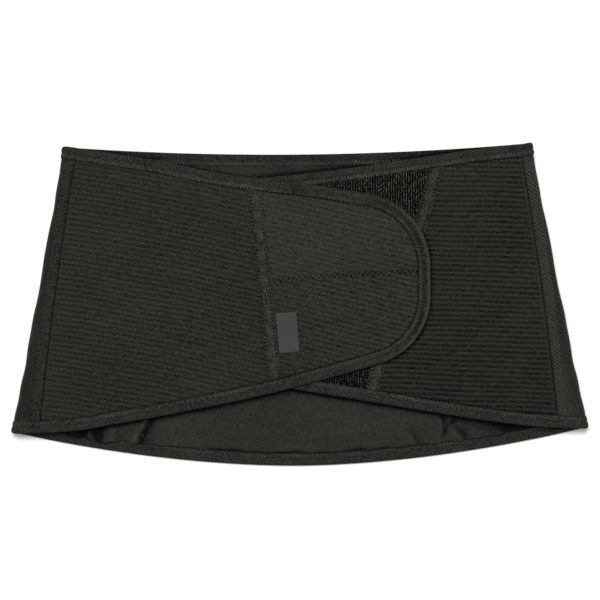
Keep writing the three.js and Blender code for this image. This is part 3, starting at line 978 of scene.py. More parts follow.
def grain_group():
    """Fine grain of yarn, soft patches where the cloth has faded, and a little lint."""
    group, given, out = new_group(
        "grain",
        [("Vector", "NodeSocketVector", None), ("Grain", "NodeSocketFloat", 0.001),
         ("Patch", "NodeSocketFloat", 0.03)],
        [("Grain", "NodeSocketFloat"), ("Patch", "NodeSocketFloat"), ("Lint", "NodeSocketFloat")])

    def noise(pitch, detail):
        scale = maths(group, "DIVIDE", 1.0, pitch)
        inputs = {"Vector": given["Vector"], "Scale": scale, "Detail": detail}
        return put(group, "ShaderNodeTexNoise", inputs).outputs["Fac"]

    def stretched(value, low, high):
        return put(group, "ShaderNodeMapRange", {0: value, 1: low, 2: high}).outputs[0]

    group.links.new(stretched(noise(given["Grain"], 2.0), *GRAIN_RANGE), out.inputs["Grain"])
    group.links.new(stretched(noise(given["Patch"], 3.0), *PATCH_RANGE), out.inputs["Patch"])
    lint = noise(maths(group, "MULTIPLY", given["Grain"], LINT_SIZE), 1.0)
    group.links.new(stretched(lint, *LINT_RANGE), out.inputs["Lint"])
    return group


def tone_group():
    """Lightens and darkens a cloth's colour by its painted light and shade with other tone, threads, grain,
    patches and lint.
    """
    shares = [("Relief", 0.5), ("Threads", 0.3), ("Grain", 0.3), ("Patch", 0.15)]
    inputs = [("Color", "NodeSocketColor", None)]
    for label, share in shares:
        inputs.append((label, "NodeSocketFloat", 0.5))
        inputs.append((label + " share", "NodeSocketFloat", share))
    inputs.append(("Lint", "NodeSocketFloat", 0.0))
    group, given, out = new_group(
        "cloth tone", inputs, [("Color", "NodeSocketColor"), ("Roughness", "NodeSocketFloat")])
    tone = 1.0
    for label, _ in shares:
        off = maths(group, "SUBTRACT", given[label], 0.5)
        tone = maths(group, "ADD", tone, maths(group, "MULTIPLY", off, given[label + " share"]))
    tone = maths(group, "ADD", tone, maths(group, "MULTIPLY", given["Lint"], LINT_LIGHTER))
    tone = maths(group, "MAXIMUM", tone, DARKEST)
    toned = put(group, "ShaderNodeVectorMath", {0: given["Color"], "Scale": tone}, operation="SCALE")
    group.links.new(toned.outputs[0], out.inputs["Color"])
    rough = put(group, "ShaderNodeMapRange", {0: tone, **ROUGHNESS})
    group.links.new(rough.outputs[0], out.inputs["Roughness"])
    return group


GROUPS = {}


def shared(name):
    """One of the shared node groups, built when it is first asked for."""
    makers = {
        "threads": crossed_threads_group, "twill": twill_group, "grain": grain_group, "tone": tone_group}
    if name not in GROUPS:
        GROUPS[name] = makers[name]()
    return GROUPS[name]


def use(tree, name, inputs):
    """Adds one of the shared node groups, and gives its outputs."""
    return put(tree, "ShaderNodeGroup", inputs, node_tree=shared(name)).outputs


# What a finish has where it names no other
PLAIN_FINISH = {
    "turn": 0, "patch": 0.2, "stretch": 1, "bump": 0.0004, "sheen": 0.0, "shine": 0.12, "uv": False}

# Cloth finishes: the weave, its pitches and turn, each effect's share in the tone, the grain's size and
# stretch, the threads' height as bump, the sheen, the shine, and whether they follow the cloth's UV map
FINISHES = {
    "elastic": {"weave": "threads", "pitch": (0.0025, 0.0025), "turn": 12.5, "painted_light_and_tone": 0.8, "threads": 0.7,
                "grain": 0.9, "size": 0.0014, "stretch": 0.7},
    "ribbed": {"weave": "threads", "pitch": (0.0025, 0.0025), "turn": 2.4, "painted_light_and_tone": 1.1, "threads": 0.45,
               "grain": 0.9, "patch": 0.3, "size": 0.0014, "stretch": 0.6, "bump": 0.00035},
    "lining": {"weave": "threads", "pitch": (0.0026, 0.0026), "painted_light_and_tone": 1.0, "threads": 0.15, "grain": 0.65,
               "patch": 0.25, "size": 0.002, "bump": 0.0002, "sheen": 0.05},
    "twill": {"weave": "twill", "pitch": (0.0031, 0.9), "painted_light_and_tone": 0.4, "threads": 0.5, "grain": 0.7,
              "patch": 0.25, "size": 0.0016, "sheen": 0.05},
    "tape": {"weave": "twill", "pitch": (0.0029, 0.9), "painted_light_and_tone": 0.8, "threads": 0.36, "grain": 1.5,
             "size": 0.0014, "uv": True},
    "strip": {"weave": "twill", "pitch": (0.0031, 0.9), "painted_light_and_tone": 0.8, "threads": 1.4, "grain": 0.9,
              "size": 0.0015, "uv": True},
    "thread": {"weave": "twill", "pitch": (0.0006, 1.0), "painted_light_and_tone": 0.0, "threads": 0.4, "grain": 1.4,
               "patch": 0.9, "size": 0.002, "bump": 0.0001, "sheen": 0.05},
    "loop": {"weave": "threads", "pitch": (0.0034, 0.0027), "painted_light_and_tone": 1.0, "threads": 0.5, "grain": 1.6,
             "patch": 0.4, "size": 0.0017, "bump": 0.0001},
    "ground": {"weave": "threads", "pitch": (0.0017, 0.0017), "painted_light_and_tone": 0.0, "threads": 0.6, "grain": 0.8,
               "size": 0.0015, "bump": 0.0003, "shine": 0.05},
    "label": {"weave": "threads", "pitch": (0.0015, 0.0019), "turn": 4.4, "painted_light_and_tone": 0.5, "threads": 0.16,
              "grain": 0.2, "size": 0.0015, "bump": 0.0001, "sheen": 0.1},
}

# The finish that each of the belt's cloths has; its colour has the cloth's own name
CLOTHS = {
    "elastic": "elastic", "tab": "elastic", "ribbed": "ribbed", "lining": "lining", "outside": "twill",
    "tape": "tape", "side": "strip", "band": "tape", "thread": "thread", "tab_thread": "thread",
    "hole": "ground", "loop": "loop", "ground": "ground", "label": "label"}

# What all cloths have: the size of faded patches, the bump's strength, the grain's share in it, and the
# roughness of the sheen
PATCH_SIZE = 0.035
BUMP_STRENGTH = 0.8
GRAIN_BUMP = 0.6
SHEEN_ROUGHNESS = 0.45


def cloth_material(name, base, finish):
    """A cloth: its colour toned by weave, grain, and painted light, shade and other tone, with the threads
    as bump.
    """
    made = bpy.data.materials.new(name)
    made.use_nodes = True
    tree = made.node_tree
    surface = tree.nodes["Principled BSDF"]
    coords = tree.nodes.new("ShaderNodeTexCoord").outputs
    where = coords["UV"] if finish["uv"] else coords["Object"]
    turn = (0, 0, math.radians(finish["turn"]))
    flat = put(tree, "ShaderNodeMapping", {"Vector": where, "Rotation": turn}).outputs[0]
    first, second = finish["pitch"]
    if finish["weave"] == "twill":
        weave = use(tree, "twill", {"Vector": flat, "Pitch": first, "Slant": second})["Height"]
    else:
        weave = use(tree, "threads", {"Vector": flat, "Warp": first, "Weft": second})["Height"]
    drawn = put(tree, "ShaderNodeMapping", {"Vector": coords["Object"], "Scale": (finish["stretch"], 1, 1)})
    grain = use(tree, "grain", {"Vector": drawn.outputs[0], "Grain": finish["size"], "Patch": PATCH_SIZE})
    painted_light_and_tone = put(tree, "ShaderNodeAttribute", {}, attribute_name="painted_light_and_tone").outputs["Fac"]
    tone = use(tree, "tone", {
        "Color": (*base, 1.0),
        "Relief": painted_light_and_tone, "Relief share": finish["painted_light_and_tone"],
        "Threads": weave, "Threads share": finish["threads"],
        "Grain": grain["Grain"], "Grain share": finish["grain"],
        "Patch": grain["Patch"], "Patch share": finish["patch"],
        "Lint": grain["Lint"]})
    tree.links.new(tone["Color"], surface.inputs["Base Color"])
    tree.links.new(tone["Roughness"], surface.inputs["Roughness"])
    height = maths(tree, "ADD", weave, maths(tree, "MULTIPLY", grain["Grain"], GRAIN_BUMP))
    bump = put(tree, "ShaderNodeBump", {
        "Height": height, "Distance": finish["bump"], "Strength": BUMP_STRENGTH})
    tree.links.new(bump.outputs["Normal"], surface.inputs["Normal"])
    surface.inputs["Specular IOR Level"].default_value = finish["shine"]
    surface.inputs["Sheen Weight"].default_value = finish["sheen"]
    surface.inputs["Sheen Roughness"].default_value = SHEEN_ROUGHNESS
    return made


def cloth(name):
    """The belt's own material of that name, made when it is first asked for."""
    made = bpy.data.materials.get("belt_" + name)
    given = bpy.context.scene.belt_colours
    finish = {**PLAIN_FINISH, **FINISHES[CLOTHS[name]]}
    return made or cloth_material("belt_" + name, getattr(given, name), finish)


# Stitches

def model_stitch():
    """One straight stitch along X: its points and faces, one unit long."""
    alone()
    bpy.ops.mesh.primitive_cylinder_add(vertices=6, radius=0.5, depth=1, rotation=(0, math.pi / 2, 0))
    thread = bpy.context.object
    bpy.ops.object.transform_apply(location=False, rotation=True, scale=False)
    bpy.ops.object.mode_set(mode="EDIT")
    for cut in (-0.32, 0.0, 0.32):
        bpy.ops.mesh.select_all(action="SELECT")
        bpy.ops.mesh.bisect(plane_co=(cut, 0, 0), plane_no=(1, 0, 0))
    bpy.ops.object.mode_set(mode="OBJECT")
    return take_apart(thread)


def model_loop():
    """One loop of the closure, a half ring standing on the cloth: its points and faces, one unit wide."""
    alone()
    bpy.ops.mesh.primitive_torus_add(
        major_segments=10, minor_segments=4, major_radius=0.5, minor_radius=0.14,
        rotation=(math.pi / 2, 0, 0))
    ring = bpy.context.object
    bpy.ops.object.transform_apply(location=False, rotation=True, scale=False)
    bpy.ops.object.mode_set(mode="EDIT")
    bpy.ops.mesh.select_all(action="SELECT")
    bpy.ops.mesh.bisect(plane_co=(0, 0, -0.05), plane_no=(0, 0, 1), clear_inner=True, use_fill=True)
    bpy.ops.object.mode_set(mode="OBJECT")
    return take_apart(ring)


def model_hole():
    """One needle hole, a pit whose mouth is a disc that takes the painted shade: its points and faces, one
    unit wide.
    """
    alone()
    bpy.ops.mesh.primitive_cone_add(
        vertices=7, radius1=0.5, radius2=0.15, depth=0.5, rotation=(math.pi, 0, 0))
    pit = bpy.context.object
    bpy.ops.object.transform_apply(location=False, rotation=True, scale=False)
    return take_apart(pit)


def take_apart(piece):
    points = read_points(piece)
    faces = [tuple(face.vertices) for face in piece.data.polygons]
    mesh = piece.data
    bpy.data.objects.remove(piece)
    bpy.data.meshes.remove(mesh)
    return points, faces


def copies(name, model, origins, x_ways, y_ways, z_ways):
    """One piece made of a copy of the model at each origin, with axes of its own, in millimetres."""
    points, faces = model
    placed = (origins[:, None, :]
              + points[None, :, :1] * x_ways[:, None, :]
              + points[None, :, 1:2] * y_ways[:, None, :]
              + points[None, :, 2:] * z_ways[:, None, :])
    count = len(points)
    all_faces = [tuple(i + count * copy for i in face) for copy in range(len(origins)) for face in faces]
    mesh = bpy.data.meshes.new(name)
    mesh.from_pydata((placed.reshape(-1, 3) * MM).tolist(), [], all_faces)
    piece = bpy.data.objects.new(name, mesh)
    bpy.context.scene.collection.objects.link(piece)
    return piece


def unit(vectors):
    return vectors / np.linalg.norm(vectors, axis=1, keepdims=True)


def sew(name, starts, ends, ups, finish="thread", thick=1.0):
    """A piece of stitches from each start to its end, whose ends go down into the cloth."""
    points, faces = model_stitch()
    dip = (np.abs(points[:, 0]) * 2) ** 3
    shaped = points.copy()
    shaped[:, 1:] *= (1 - STITCH_THINS * dip)[:, None]
    shaped[:, 2] += STITCH_STANDS - STITCH_SINKS * dip
    thread = bpy.context.scene.belt_sizes.thread / MM * thick
    along = ends - starts
    ways = unit(along)
    sides = unit(np.cross(ups, ways))
    tops = np.cross(ways, sides)
    piece = copies(name, (shaped, faces), (starts + ends) / 2, along, sides * thread, tops * thread)
    return finish_piece(piece, "binding_tape", cloth(finish))


def prick(name, points, ups):
    """A piece of needle holes at the points, in the cloth whose face points up, near black as painted
    shade.
    """
    needle = bpy.context.scene.belt_sizes.needle / MM
    wide = np.random.default_rng(len(points)).uniform(*HOLE_WIDTHS, (len(points), 1)) * needle
    sides = unit(np.cross(ups, NO_FACE))
    across = np.cross(ups, sides)
    piece = copies(name, model_hole(), points, sides * wide, across * wide, ups * HOLE_DEPTH)
    return finish_piece(piece, "binding_tape", cloth("hole"))


def zigzag(name, edge, runs, heights, finish="thread"):
    """Zigzag stitches along runs of a bound edge, at each of the heights off its wall's middle."""
    sizes = bpy.context.scene.belt_sizes
    half = sizes.zigzag_width / MM / 2
    starts, ends, ups = [], [], []
    for run in runs:
        for height in heights:
            step = np.arange(*run, sizes.zigzag_step / MM)
            sway = np.random.default_rng(len(step)).normal(0, STITCH_SWAY, (2, len(step)))
            inset = STITCH_LINE + np.where(np.arange(len(step)) % 2 == 0, -half, half) + sway[0]
            points = edge.at(step + sway[1], inset, height)
            normal = edge.mix(edge.normal, step) * np.sign(height)
            starts.append(points[:-1])
            ends.append(points[1:])
            ups.append(normal[:-1])
    return sew(name, np.vstack(starts), np.vstack(ends), np.vstack(ups), finish)


def lip_holes(name, edge, run):
    """Needle holes along the lip of a tape, a few steps of its zigzag apart."""
    step = np.arange(*run, bpy.context.scene.belt_sizes.zigzag_step / MM * HOLE_STEPS)
    points = edge.at(step, BINDING_WIDTH + HOLE_PAST_TAPE, WALL / 2 - HOLE_UNDER)
    return prick(name, points, unit(edge.mix(edge.normal, step)))


def running(name, points):
    """Running stitches on a level line whose points are one stitch apart, with the holes between them."""
    starts = points[:-1]
    along = np.diff(points, axis=0)
    ups = upwards(len(starts))
    holes = prick(name + "_holes", starts - along * (1 - STITCH_SHARE) / 2, ups)
    return [sew(name, starts, starts + along * STITCH_SHARE, ups), holes]


# Operators

class BELT_OT_back(bpy.types.Operator):
    """Padded back with its lining, turned up round both sides to the seams"""

    bl_idname = "belt.back"
    bl_label = "Back"

    def execute(self, context):
        across_at = back_stations(*BACK_STEPS)
        share_at = self.rows()
        piece, column, row = start_grid("back_pad", len(across_at) - 1, len(share_at) - 1)
        across, share = across_at[column], share_at[row]
        middle = back_point(across, share, EDGE_INSET)
        x, y = middle[:, 0], middle[:, 1]
        _, inside = back_ways(across, share)
        half = back_thickness(across, share)[:, None] / 2
        flat = np.abs(across) < FLAT
        lies = flat * smoothstep(np.minimum(share, 1 - share), *LINING_FREE)
        creases = self.creases(middle)
        soft = waves("lining", x, y) + creases + self.fullness(x, y)
        lining = middle + inside * (half + (lies * soft)[:, None])
        fuller = smoothstep(np.abs(x), *ROLL_SIDES) + CORNER_MORE * smoothstep(-x, *ROLL_CORNER)
        roll = bump_at(share, *HEM_ROLL) * flat * (0.5 + 0.5 * fuller + waves("hem_roll", x, share))
        lining += roll[:, None] * ROLL_MOVES
        outside = middle - inside * half
        uneven = smoothstep(np.abs(across), *OUTER_UNEVEN) * waves("outer_face", y, across)
        outside -= inside * uneven[:, None]
        outside[:, 2] = np.maximum(outside[:, 2], 0)
        faces = thicken(piece, lining, outside)
        kinds = np.ones(len(piece.data.polygons), np.int32)
        kinds[:faces] = 0
        lining_tone = self.lining_tone(middle, share, creases * lies)
        set_painted_light_and_tone(piece, np.concatenate([lining_tone, self.outer_tone(across)]))
        finish_piece(piece, "back_cloth", cloth("lining"), cloth("outside"), replaced=["back_panel"])
        piece.data.polygons.foreach_set("material_index", kinds)
        return {"FINISHED"}

    def rows(self):
        """Shares of the back's height at which its mesh has rows."""
        shares = []
        start = 0
        for end, count in BACK_ROWS:
            shares.append(np.linspace(start, end, count, endpoint=False))
            start = end
        return np.concatenate([*shares, [start]])

    def lining_tone(self, points, share, creases):
        """Painted shade in the creases, at the hem's seam, and under and beside the flaps; painted light on
        ridges.
        """
        reach = RIGHT_SHADE + RIGHT_SHADE_MORE * smoothstep(points[:, 0], *RIGHT_SHADE_GROWS)
        shade = np.maximum(shade_of(LEFT_EDGE, points, LEFT_SHADE), shade_of(RIGHT_EDGE, points, reach))
        tone = LINING_TONE["plain"] + LINING_TONE["creases"] * creases
        tone += LINING_TONE["hem"] * bump_at(share, *HEM_SEAM_SHADE) + LINING_TONE["shade"] * shade
        return np.clip(tone, *LINING_TONE["limits"])

    def outer_tone(self, across):
        """Painted shade on the folds, where the face turns away, and lighter beside the right seam."""
        near_seam = smoothstep(across, OUTMOST, (TURNED + SEWN) / 2)
        right = lerp(OUTER_TONE["right"], OUTER_TONE["right_seam"], near_seam)
        tone = OUTER_TONE["plain"] + OUTER_TONE["left"] * smoothstep(-across, FLAT, TURNED)
        return tone + right * smoothstep(across, FLAT, OUTMOST)

    def fullness(self, x, y):
        """The lining stands fuller between the pad's hip edge and the flaps."""
        between = smoothstep(y, *FULL_FROM) * (1 - smoothstep(y, *FULL_UNTIL))
        return FULL_HEIGHT * between * (1 - smoothstep(np.abs(x), *FULL_SIDES))

    def creases(self, points):
        """Folds that run from under the flaps down to the hem, each a ridge with a valley to its right."""
        total = np.zeros(len(points))
        for crease in LINING_CREASES:
            top, bottom = np.array(crease["top"], float), np.array(crease["bottom"], float)
            run = bottom - top
            length = np.linalg.norm(run)
            way = run / length
            off = points[:, :2] - top
            down = off @ way
            bend = CREASE["bend"] * np.sin(np.clip(down / length, -1, 2) * math.pi)
            aside = off @ np.array([-way[1], way[0]]) - bend
            ends = smoothstep(down, *CREASE["starts"]) * (1 - smoothstep(down / length, *CREASE["ends"]))
            shares = aside / crease["width"]
            near, far = CREASE["valley"]
            valley = bump_at(shares, 0, np.where(shares < 0, near, far))
            ridge = bump_at(shares, *CREASE["ridge"])
            total += crease["depth"] * ends * (crease["ridge"] * ridge - CREASE["depth"] * valley)
        return total


class BELT_OT_flaps(bpy.types.Operator):
    """Ribbed elastic of both flaps and of the tab"""

    bl_idname = "belt.flaps"
    bl_label = "Flaps and tab"

    def execute(self, context):
        left_seam = lambda y: seam_x(LEFT_SEAM, y) - SEAM_LAP
        right_seam = lambda y: seam_x(RIGHT_SEAM, y) + SEAM_LAP
        before_band = lambda y: line_x(LEFT_BAND_LINE, y) - GAP / 2
        after_band = lambda y: line_x(LEFT_BAND_LINE, y) + GAP / 2
        right_band = lambda y: line_x(RIGHT_BAND_LINE, y) + GAP / 2

        def runs(edge, low_x, high_x):
            """The hip and the waist stretch of an edge between two upright lines."""
            inside = lambda x, y: (x > low_x(y)) & (x < high_x(y))
            return (edge_run(edge, EDGE_INSET, lambda x, y: inside(x, y) & (y < MID_HEIGHT)),
                    edge_run(edge, EDGE_INSET, lambda x, y: inside(x, y) & (y > MID_HEIGHT)))

        self.panel(
            "left_flap", LEFT_EDGE, runs(LEFT_EDGE, left_seam, before_band), (left_seam, before_band),
            "left", left_level, LEFT_RIBS, "elastic", "left_front_panel")
        self.panel(
            "right_flap", RIGHT_EDGE, runs(RIGHT_EDGE, right_band, right_seam), (right_band, right_seam),
            "right", right_level, RIGHT_RIBS, "ribbed", "right_front_panel")

        tip = LEFT_EDGE.far[np.argmax(LEFT_EDGE.points[:, 0])]
        start, end = edge_run(LEFT_EDGE, EDGE_INSET, lambda x, y: x > after_band(y))
        self.panel(
            "tab", LEFT_EDGE, ((start, tip - TAB_CORNER), (tip + TAB_CORNER, end)), (after_band, None),
            None, left_level, TAB_RIBS, "tab", "closure_tab")
        return {"FINISHED"}

    def panel(self, name, edge, runs, sides, seam, level, ribs, finish, node):
        """One ribbed panel between two stretches of its edge; with no right side its end is round."""
        def stretch(run):
            return edge.at(np.linspace(*run, EDGE_POINTS), EDGE_INSET, 0)[:, :2]

        def rightwards(line):
            return line if line[0, 0] < line[-1, 0] else line[::-1]

        hip, waist = runs
        left_x, right_x = sides
        bottom, top = rightwards(stretch(hip)), rightwards(stretch(waist))
        left = upright(left_x, bottom[0], top[0])
        right = stretch((hip[1], waist[0])) if right_x is None else upright(right_x, bottom[-1], top[-1])
        across, rows = PANEL_MESHES[name]
        u_at = stations(*across)
        piece, column, row = start_grid(name, len(u_at) - 1, rows)
        x, y = patch(bottom, top, left, right, u_at[column], row / rows).T
        to_left = np.abs(x - left_x(y))
        to_right = np.full(len(x), FAR_OFF) if right_x is None else np.abs(right_x(y) - x)
        to_side = np.minimum(to_left, to_right)
        to_seam = {"left": to_left, "right": to_right, None: to_side + FAR_OFF}[seam]
        to_edge = edge_distance(x, y, edge)
        crest = 0.5 - 0.5 * np.cos(math.tau * self.phase(x, y, ribs))
        fades = ribs["fades"]
        fade = smoothstep(to_edge, *RIBS_FROM_EDGE) * smoothstep(to_seam, 0.3 * fades, fades)
        slack = smoothstep(to_edge, *SLACK_FROM_EDGE) * smoothstep(to_side, *SLACK_FROM_SIDE)
        soft = slack * (waves("slack", x, y) + waves("dents", x, y))
        puff = PUFF_HEIGHT * smoothstep(to_seam, *PUFF_RISES) * (1 - smoothstep(to_seam, PUFF_ENDS, fades))
        dip = self.furrows(to_seam, to_edge, seam is None) + self.sewn(name, x, y)
        depth = bpy.context.scene.belt_sizes.rib_depth / MM * ribs["depth"]
        top_z = WALL / 2 - CREST_UNDER - depth * (1 - crest) * fade + soft + puff + dip
        upper = raised(x, y, level(x) + np.minimum(top_z, WALL / 2 + MOST_OVER))
        lower = raised(x, y, level(x) - WALL / 2 + UNDER_RIBS * crest * fade)
        thicken(piece, upper, lower)
        clear = np.clip(RIBS_CLEAR + waves("rib_breaks", x, y * BREAKS_LONGER), *CLEAR_LIMITS)
        # Painted light on the ribs' crests and painted shade in their valleys
        tone = 0.5 + (crest - 0.5) * clear * self.rib_shade_strength(name, x, y) * fade
        # Painted highlight on the puff beside the seam
        tone += SEAM_LIGHTER * (1 - smoothstep(to_seam, 1, fades))
        # Lighter towards the waist
        tone += ribs["waist_lighter"] * (smoothstep(y, *WAIST_LIGHTER_FROM) - 0.5)
        if edge is RIGHT_EDGE:
            tone -= shade_of(LEFT_EDGE, np.column_stack([x, y]), TAB_SHADE)
        # Painted shade in the furrows, by their depth
        set_painted_light_and_tone(piece, np.tile(np.clip(tone + dip * FURROW_DARKER, *PANEL_LIMITS), 2))
        finish_piece(piece, "ribbed_elastic", cloth(finish), replaced=[node])

    def phase(self, x, y, ribs):
        """Counts the ribs; a valley runs where it is a whole number."""
        pitch = bpy.context.scene.belt_sizes.rib_pitch / MM
        slope = ribs["slope"]
        fall = slope * x - ribs["lessens"] * (x - ribs["at"]) ** 3 / 3
        wander = waves("rib_bends", x, y) + waves("rib_shakes", x, y)
        return (y + fall) / (pitch * math.hypot(1, slope)) + wander

    def rib_shade_strength(self, name, x, y):
        """How strongly the ribs' painted light and shade show: less up the left flap, and less on the tab
        beside the hook face.
        """
        if name == "left_flap":
            return 1 - LEFT_RIB_SHADE_LESS * smoothstep(y, *LEFT_RIB_SHADE_LESS_FROM)
        if name != "tab":
            return 1.0
        return TAB_CLEAR + HOOK_CLEARER * smoothstep(x, *HOOK_SIDE) * (1 - smoothstep(y, *HOOK_TOP))

    def furrows(self, to_seam, to_edge, round_end):
        """The furrows in the side seam and along the lip of the tape."""
        seam_depth, seam_spread = SEAM_FURROW
        lip_depth, lip_spread = LIP_FURROW
        lip = lip_depth * bump_at(to_edge, BINDING_WIDTH + LIP_PAST_TAPE, lip_spread)
        return -seam_depth * bump_at(to_seam, 0, seam_spread) - lip * (TAB_LIP_MORE if round_end else 1)

    def sewn(self, name, x, y):
        """The furrow that the stitch row pulls into the tab."""
        if name != "tab":
            return 0.0
        x_row, y_row = np.array(TAB_ROW, float).T
        starts = smoothstep(x, x_row[0] - ROW_ENDS, x_row[0])
        ends = 1 - smoothstep(x, x_row[-1], x_row[-1] + ROW_ENDS)
        depth, spread = ROW_FURROW
        return -depth * starts * ends * bump_at(y - np.interp(x, x_row, y_row), 0, spread)


class BELT_OT_bindings(bpy.types.Operator):
    """Tapes folded over the edges of the back and of the flaps, with their zigzag stitches"""

    bl_idname = "belt.bindings"
    bl_label = "Bindings"

    def execute(self, context):
        in_seams = lambda x, y: (x > seam_x(LEFT_SEAM, y)) & (x < seam_x(RIGHT_SEAM, y))
        for name, edge, node, seed in (
                ("left_flap_tape", LEFT_EDGE, "left_front_binding", 31),
                ("right_flap_tape", RIGHT_EDGE, "right_front_binding", 32)):
            outer = np.array(edge_run(edge, 0, in_seams)) + (-LAPPED, LAPPED)
            inner = np.array(edge_run(edge, BINDING_WIDTH, in_seams)) + (-LAPPED, LAPPED)
            self.tape(name, edge, outer, inner, node, seed, (STITCH_TOP,))
        for name, edge, node, seed in (
                ("back_waist_tape", BACK_WAIST_EDGE, "back_top_binding", 33),
                ("back_hip_tape", BACK_HIP_EDGE, "back_bottom_binding", 34)):
            whole = (0, edge.length)
            self.tape(name, edge, whole, whole, node, seed, (STITCH_TOP, STITCH_UNDER))
        return {"FINISHED"}

    def tape(self, name, edge, outer_run, inner_run, node, seed, sewn_at):
        """A folded tape along an edge, its ends cut along the lines between the two runs' ends."""
        upper = np.array(TAPE_OUTSIDE[::-1])
        lower = np.array(TAPE_OUTSIDE[1:]) * (1, -1)
        inside = np.array(TAPE_INSIDE)
        section = np.vstack([upper, lower, inside * (1, -1), inside[::-1], upper[:1]])
        columns = round((outer_run[1] - outer_run[0]) / TAPE_STEP)
        piece, column, row = start_grid(name, columns, len(section) - 1)
        inset, height = section[row].T
        share = np.clip(inset / BINDING_WIDTH, 0, 1)
        start = lerp(outer_run[0], inner_run[0], share)
        end = lerp(outer_run[1], inner_run[1], share)
        station = lerp(start, end, column / columns)
        pull = bump_at(inset, STITCH_LINE, PULL_SPREAD) * waves("tape_pull", station, inset * 2, seed)
        full = bump_at(inset, *FULL_ROLL) * waves("tape_full", station, seed=seed)
        ends = smoothstep(station - start, 0, STILL_ENDS) * smoothstep(end - station, 0, STILL_ENDS)
        sway = ends * waves("tape_sway", station, seed=seed)
        outside = (row < len(upper) + len(lower)) | (row == len(section) - 1)
        lifted = height + np.sign(height) * outside * (pull + full)
        points = edge.at(station, inset + sway * share, lifted)
        points[:, 2] = np.maximum(points[:, 2], OFF_FLOOR)
        place(piece, points)
        set_uv(piece, station, lengths(section)[row])
        # Painted light where the tape's face stands higher and painted shade where it sinks
        set_painted_light_and_tone(piece, self.tone(edge, points, inset) + pull + full)
        close_tube()
        finish_piece(piece, "binding_tape", cloth("tape"), replaced=[node])
        run = (max(outer_run[0], inner_run[0]) + 1, min(outer_run[1], inner_run[1]) - 1)
        sewn = [lip_holes(name + "_holes", edge, run)]
        if edge is LEFT_EDGE:
            tab = edge_run(edge, BINDING_WIDTH, lambda x, y: x > line_x(LEFT_BAND_LINE, y) + BAND_WIDTH / 2)
            sewn.append(zigzag("tab_tape_stitches", edge, [tab], sewn_at, "tab_thread"))
            sewn.append(zigzag(name + "_stitches", edge, [(run[0], tab[0]), (tab[1], run[1])], sewn_at))
        else:
            dim = "tab_thread" if edge is BACK_HIP_EDGE else "thread"
            sewn.append(zigzag(name + "_stitches", edge, [run], sewn_at, dim))

    def tone(self, edge, points, inset):
        """A tape's tone across its width, with the tab's painted rim highlight and the flaps' painted shade
        on the waist tape.
        """
        tone = np.interp(inset, TAPE_TONE["inset"], TAPE_TONE["tone"])
        if edge is LEFT_EDGE:
            lighter, *rim = TAB_RIM
            darker, *groove = TAB_GROOVE
            painted_rim_and_groove = lighter * bump_at(inset, *rim) - darker * bump_at(inset, *groove)
            tone += smoothstep(points[:, 0], *TAB_RIM_FROM) * painted_rim_and_groove
        if edge is BACK_WAIST_EDGE:
            tone -= WAIST_RIM * (1 - smoothstep(inset, *WAIST_RIM_ENDS))
            low = (points[:, 2] > BACK_LEVEL) & (points[:, 2] < BACK_LEVEL + BINDING_WIDTH / 2)
            left = shade_of(LEFT_EDGE, points, WAIST_TAPE_SHADE["left"])
            right = shade_of(RIGHT_EDGE, points, WAIST_TAPE_SHADE["right"])
            tone -= WAIST_TAPE_SHADE["depth"] * low * np.maximum(left, right)
        return tone


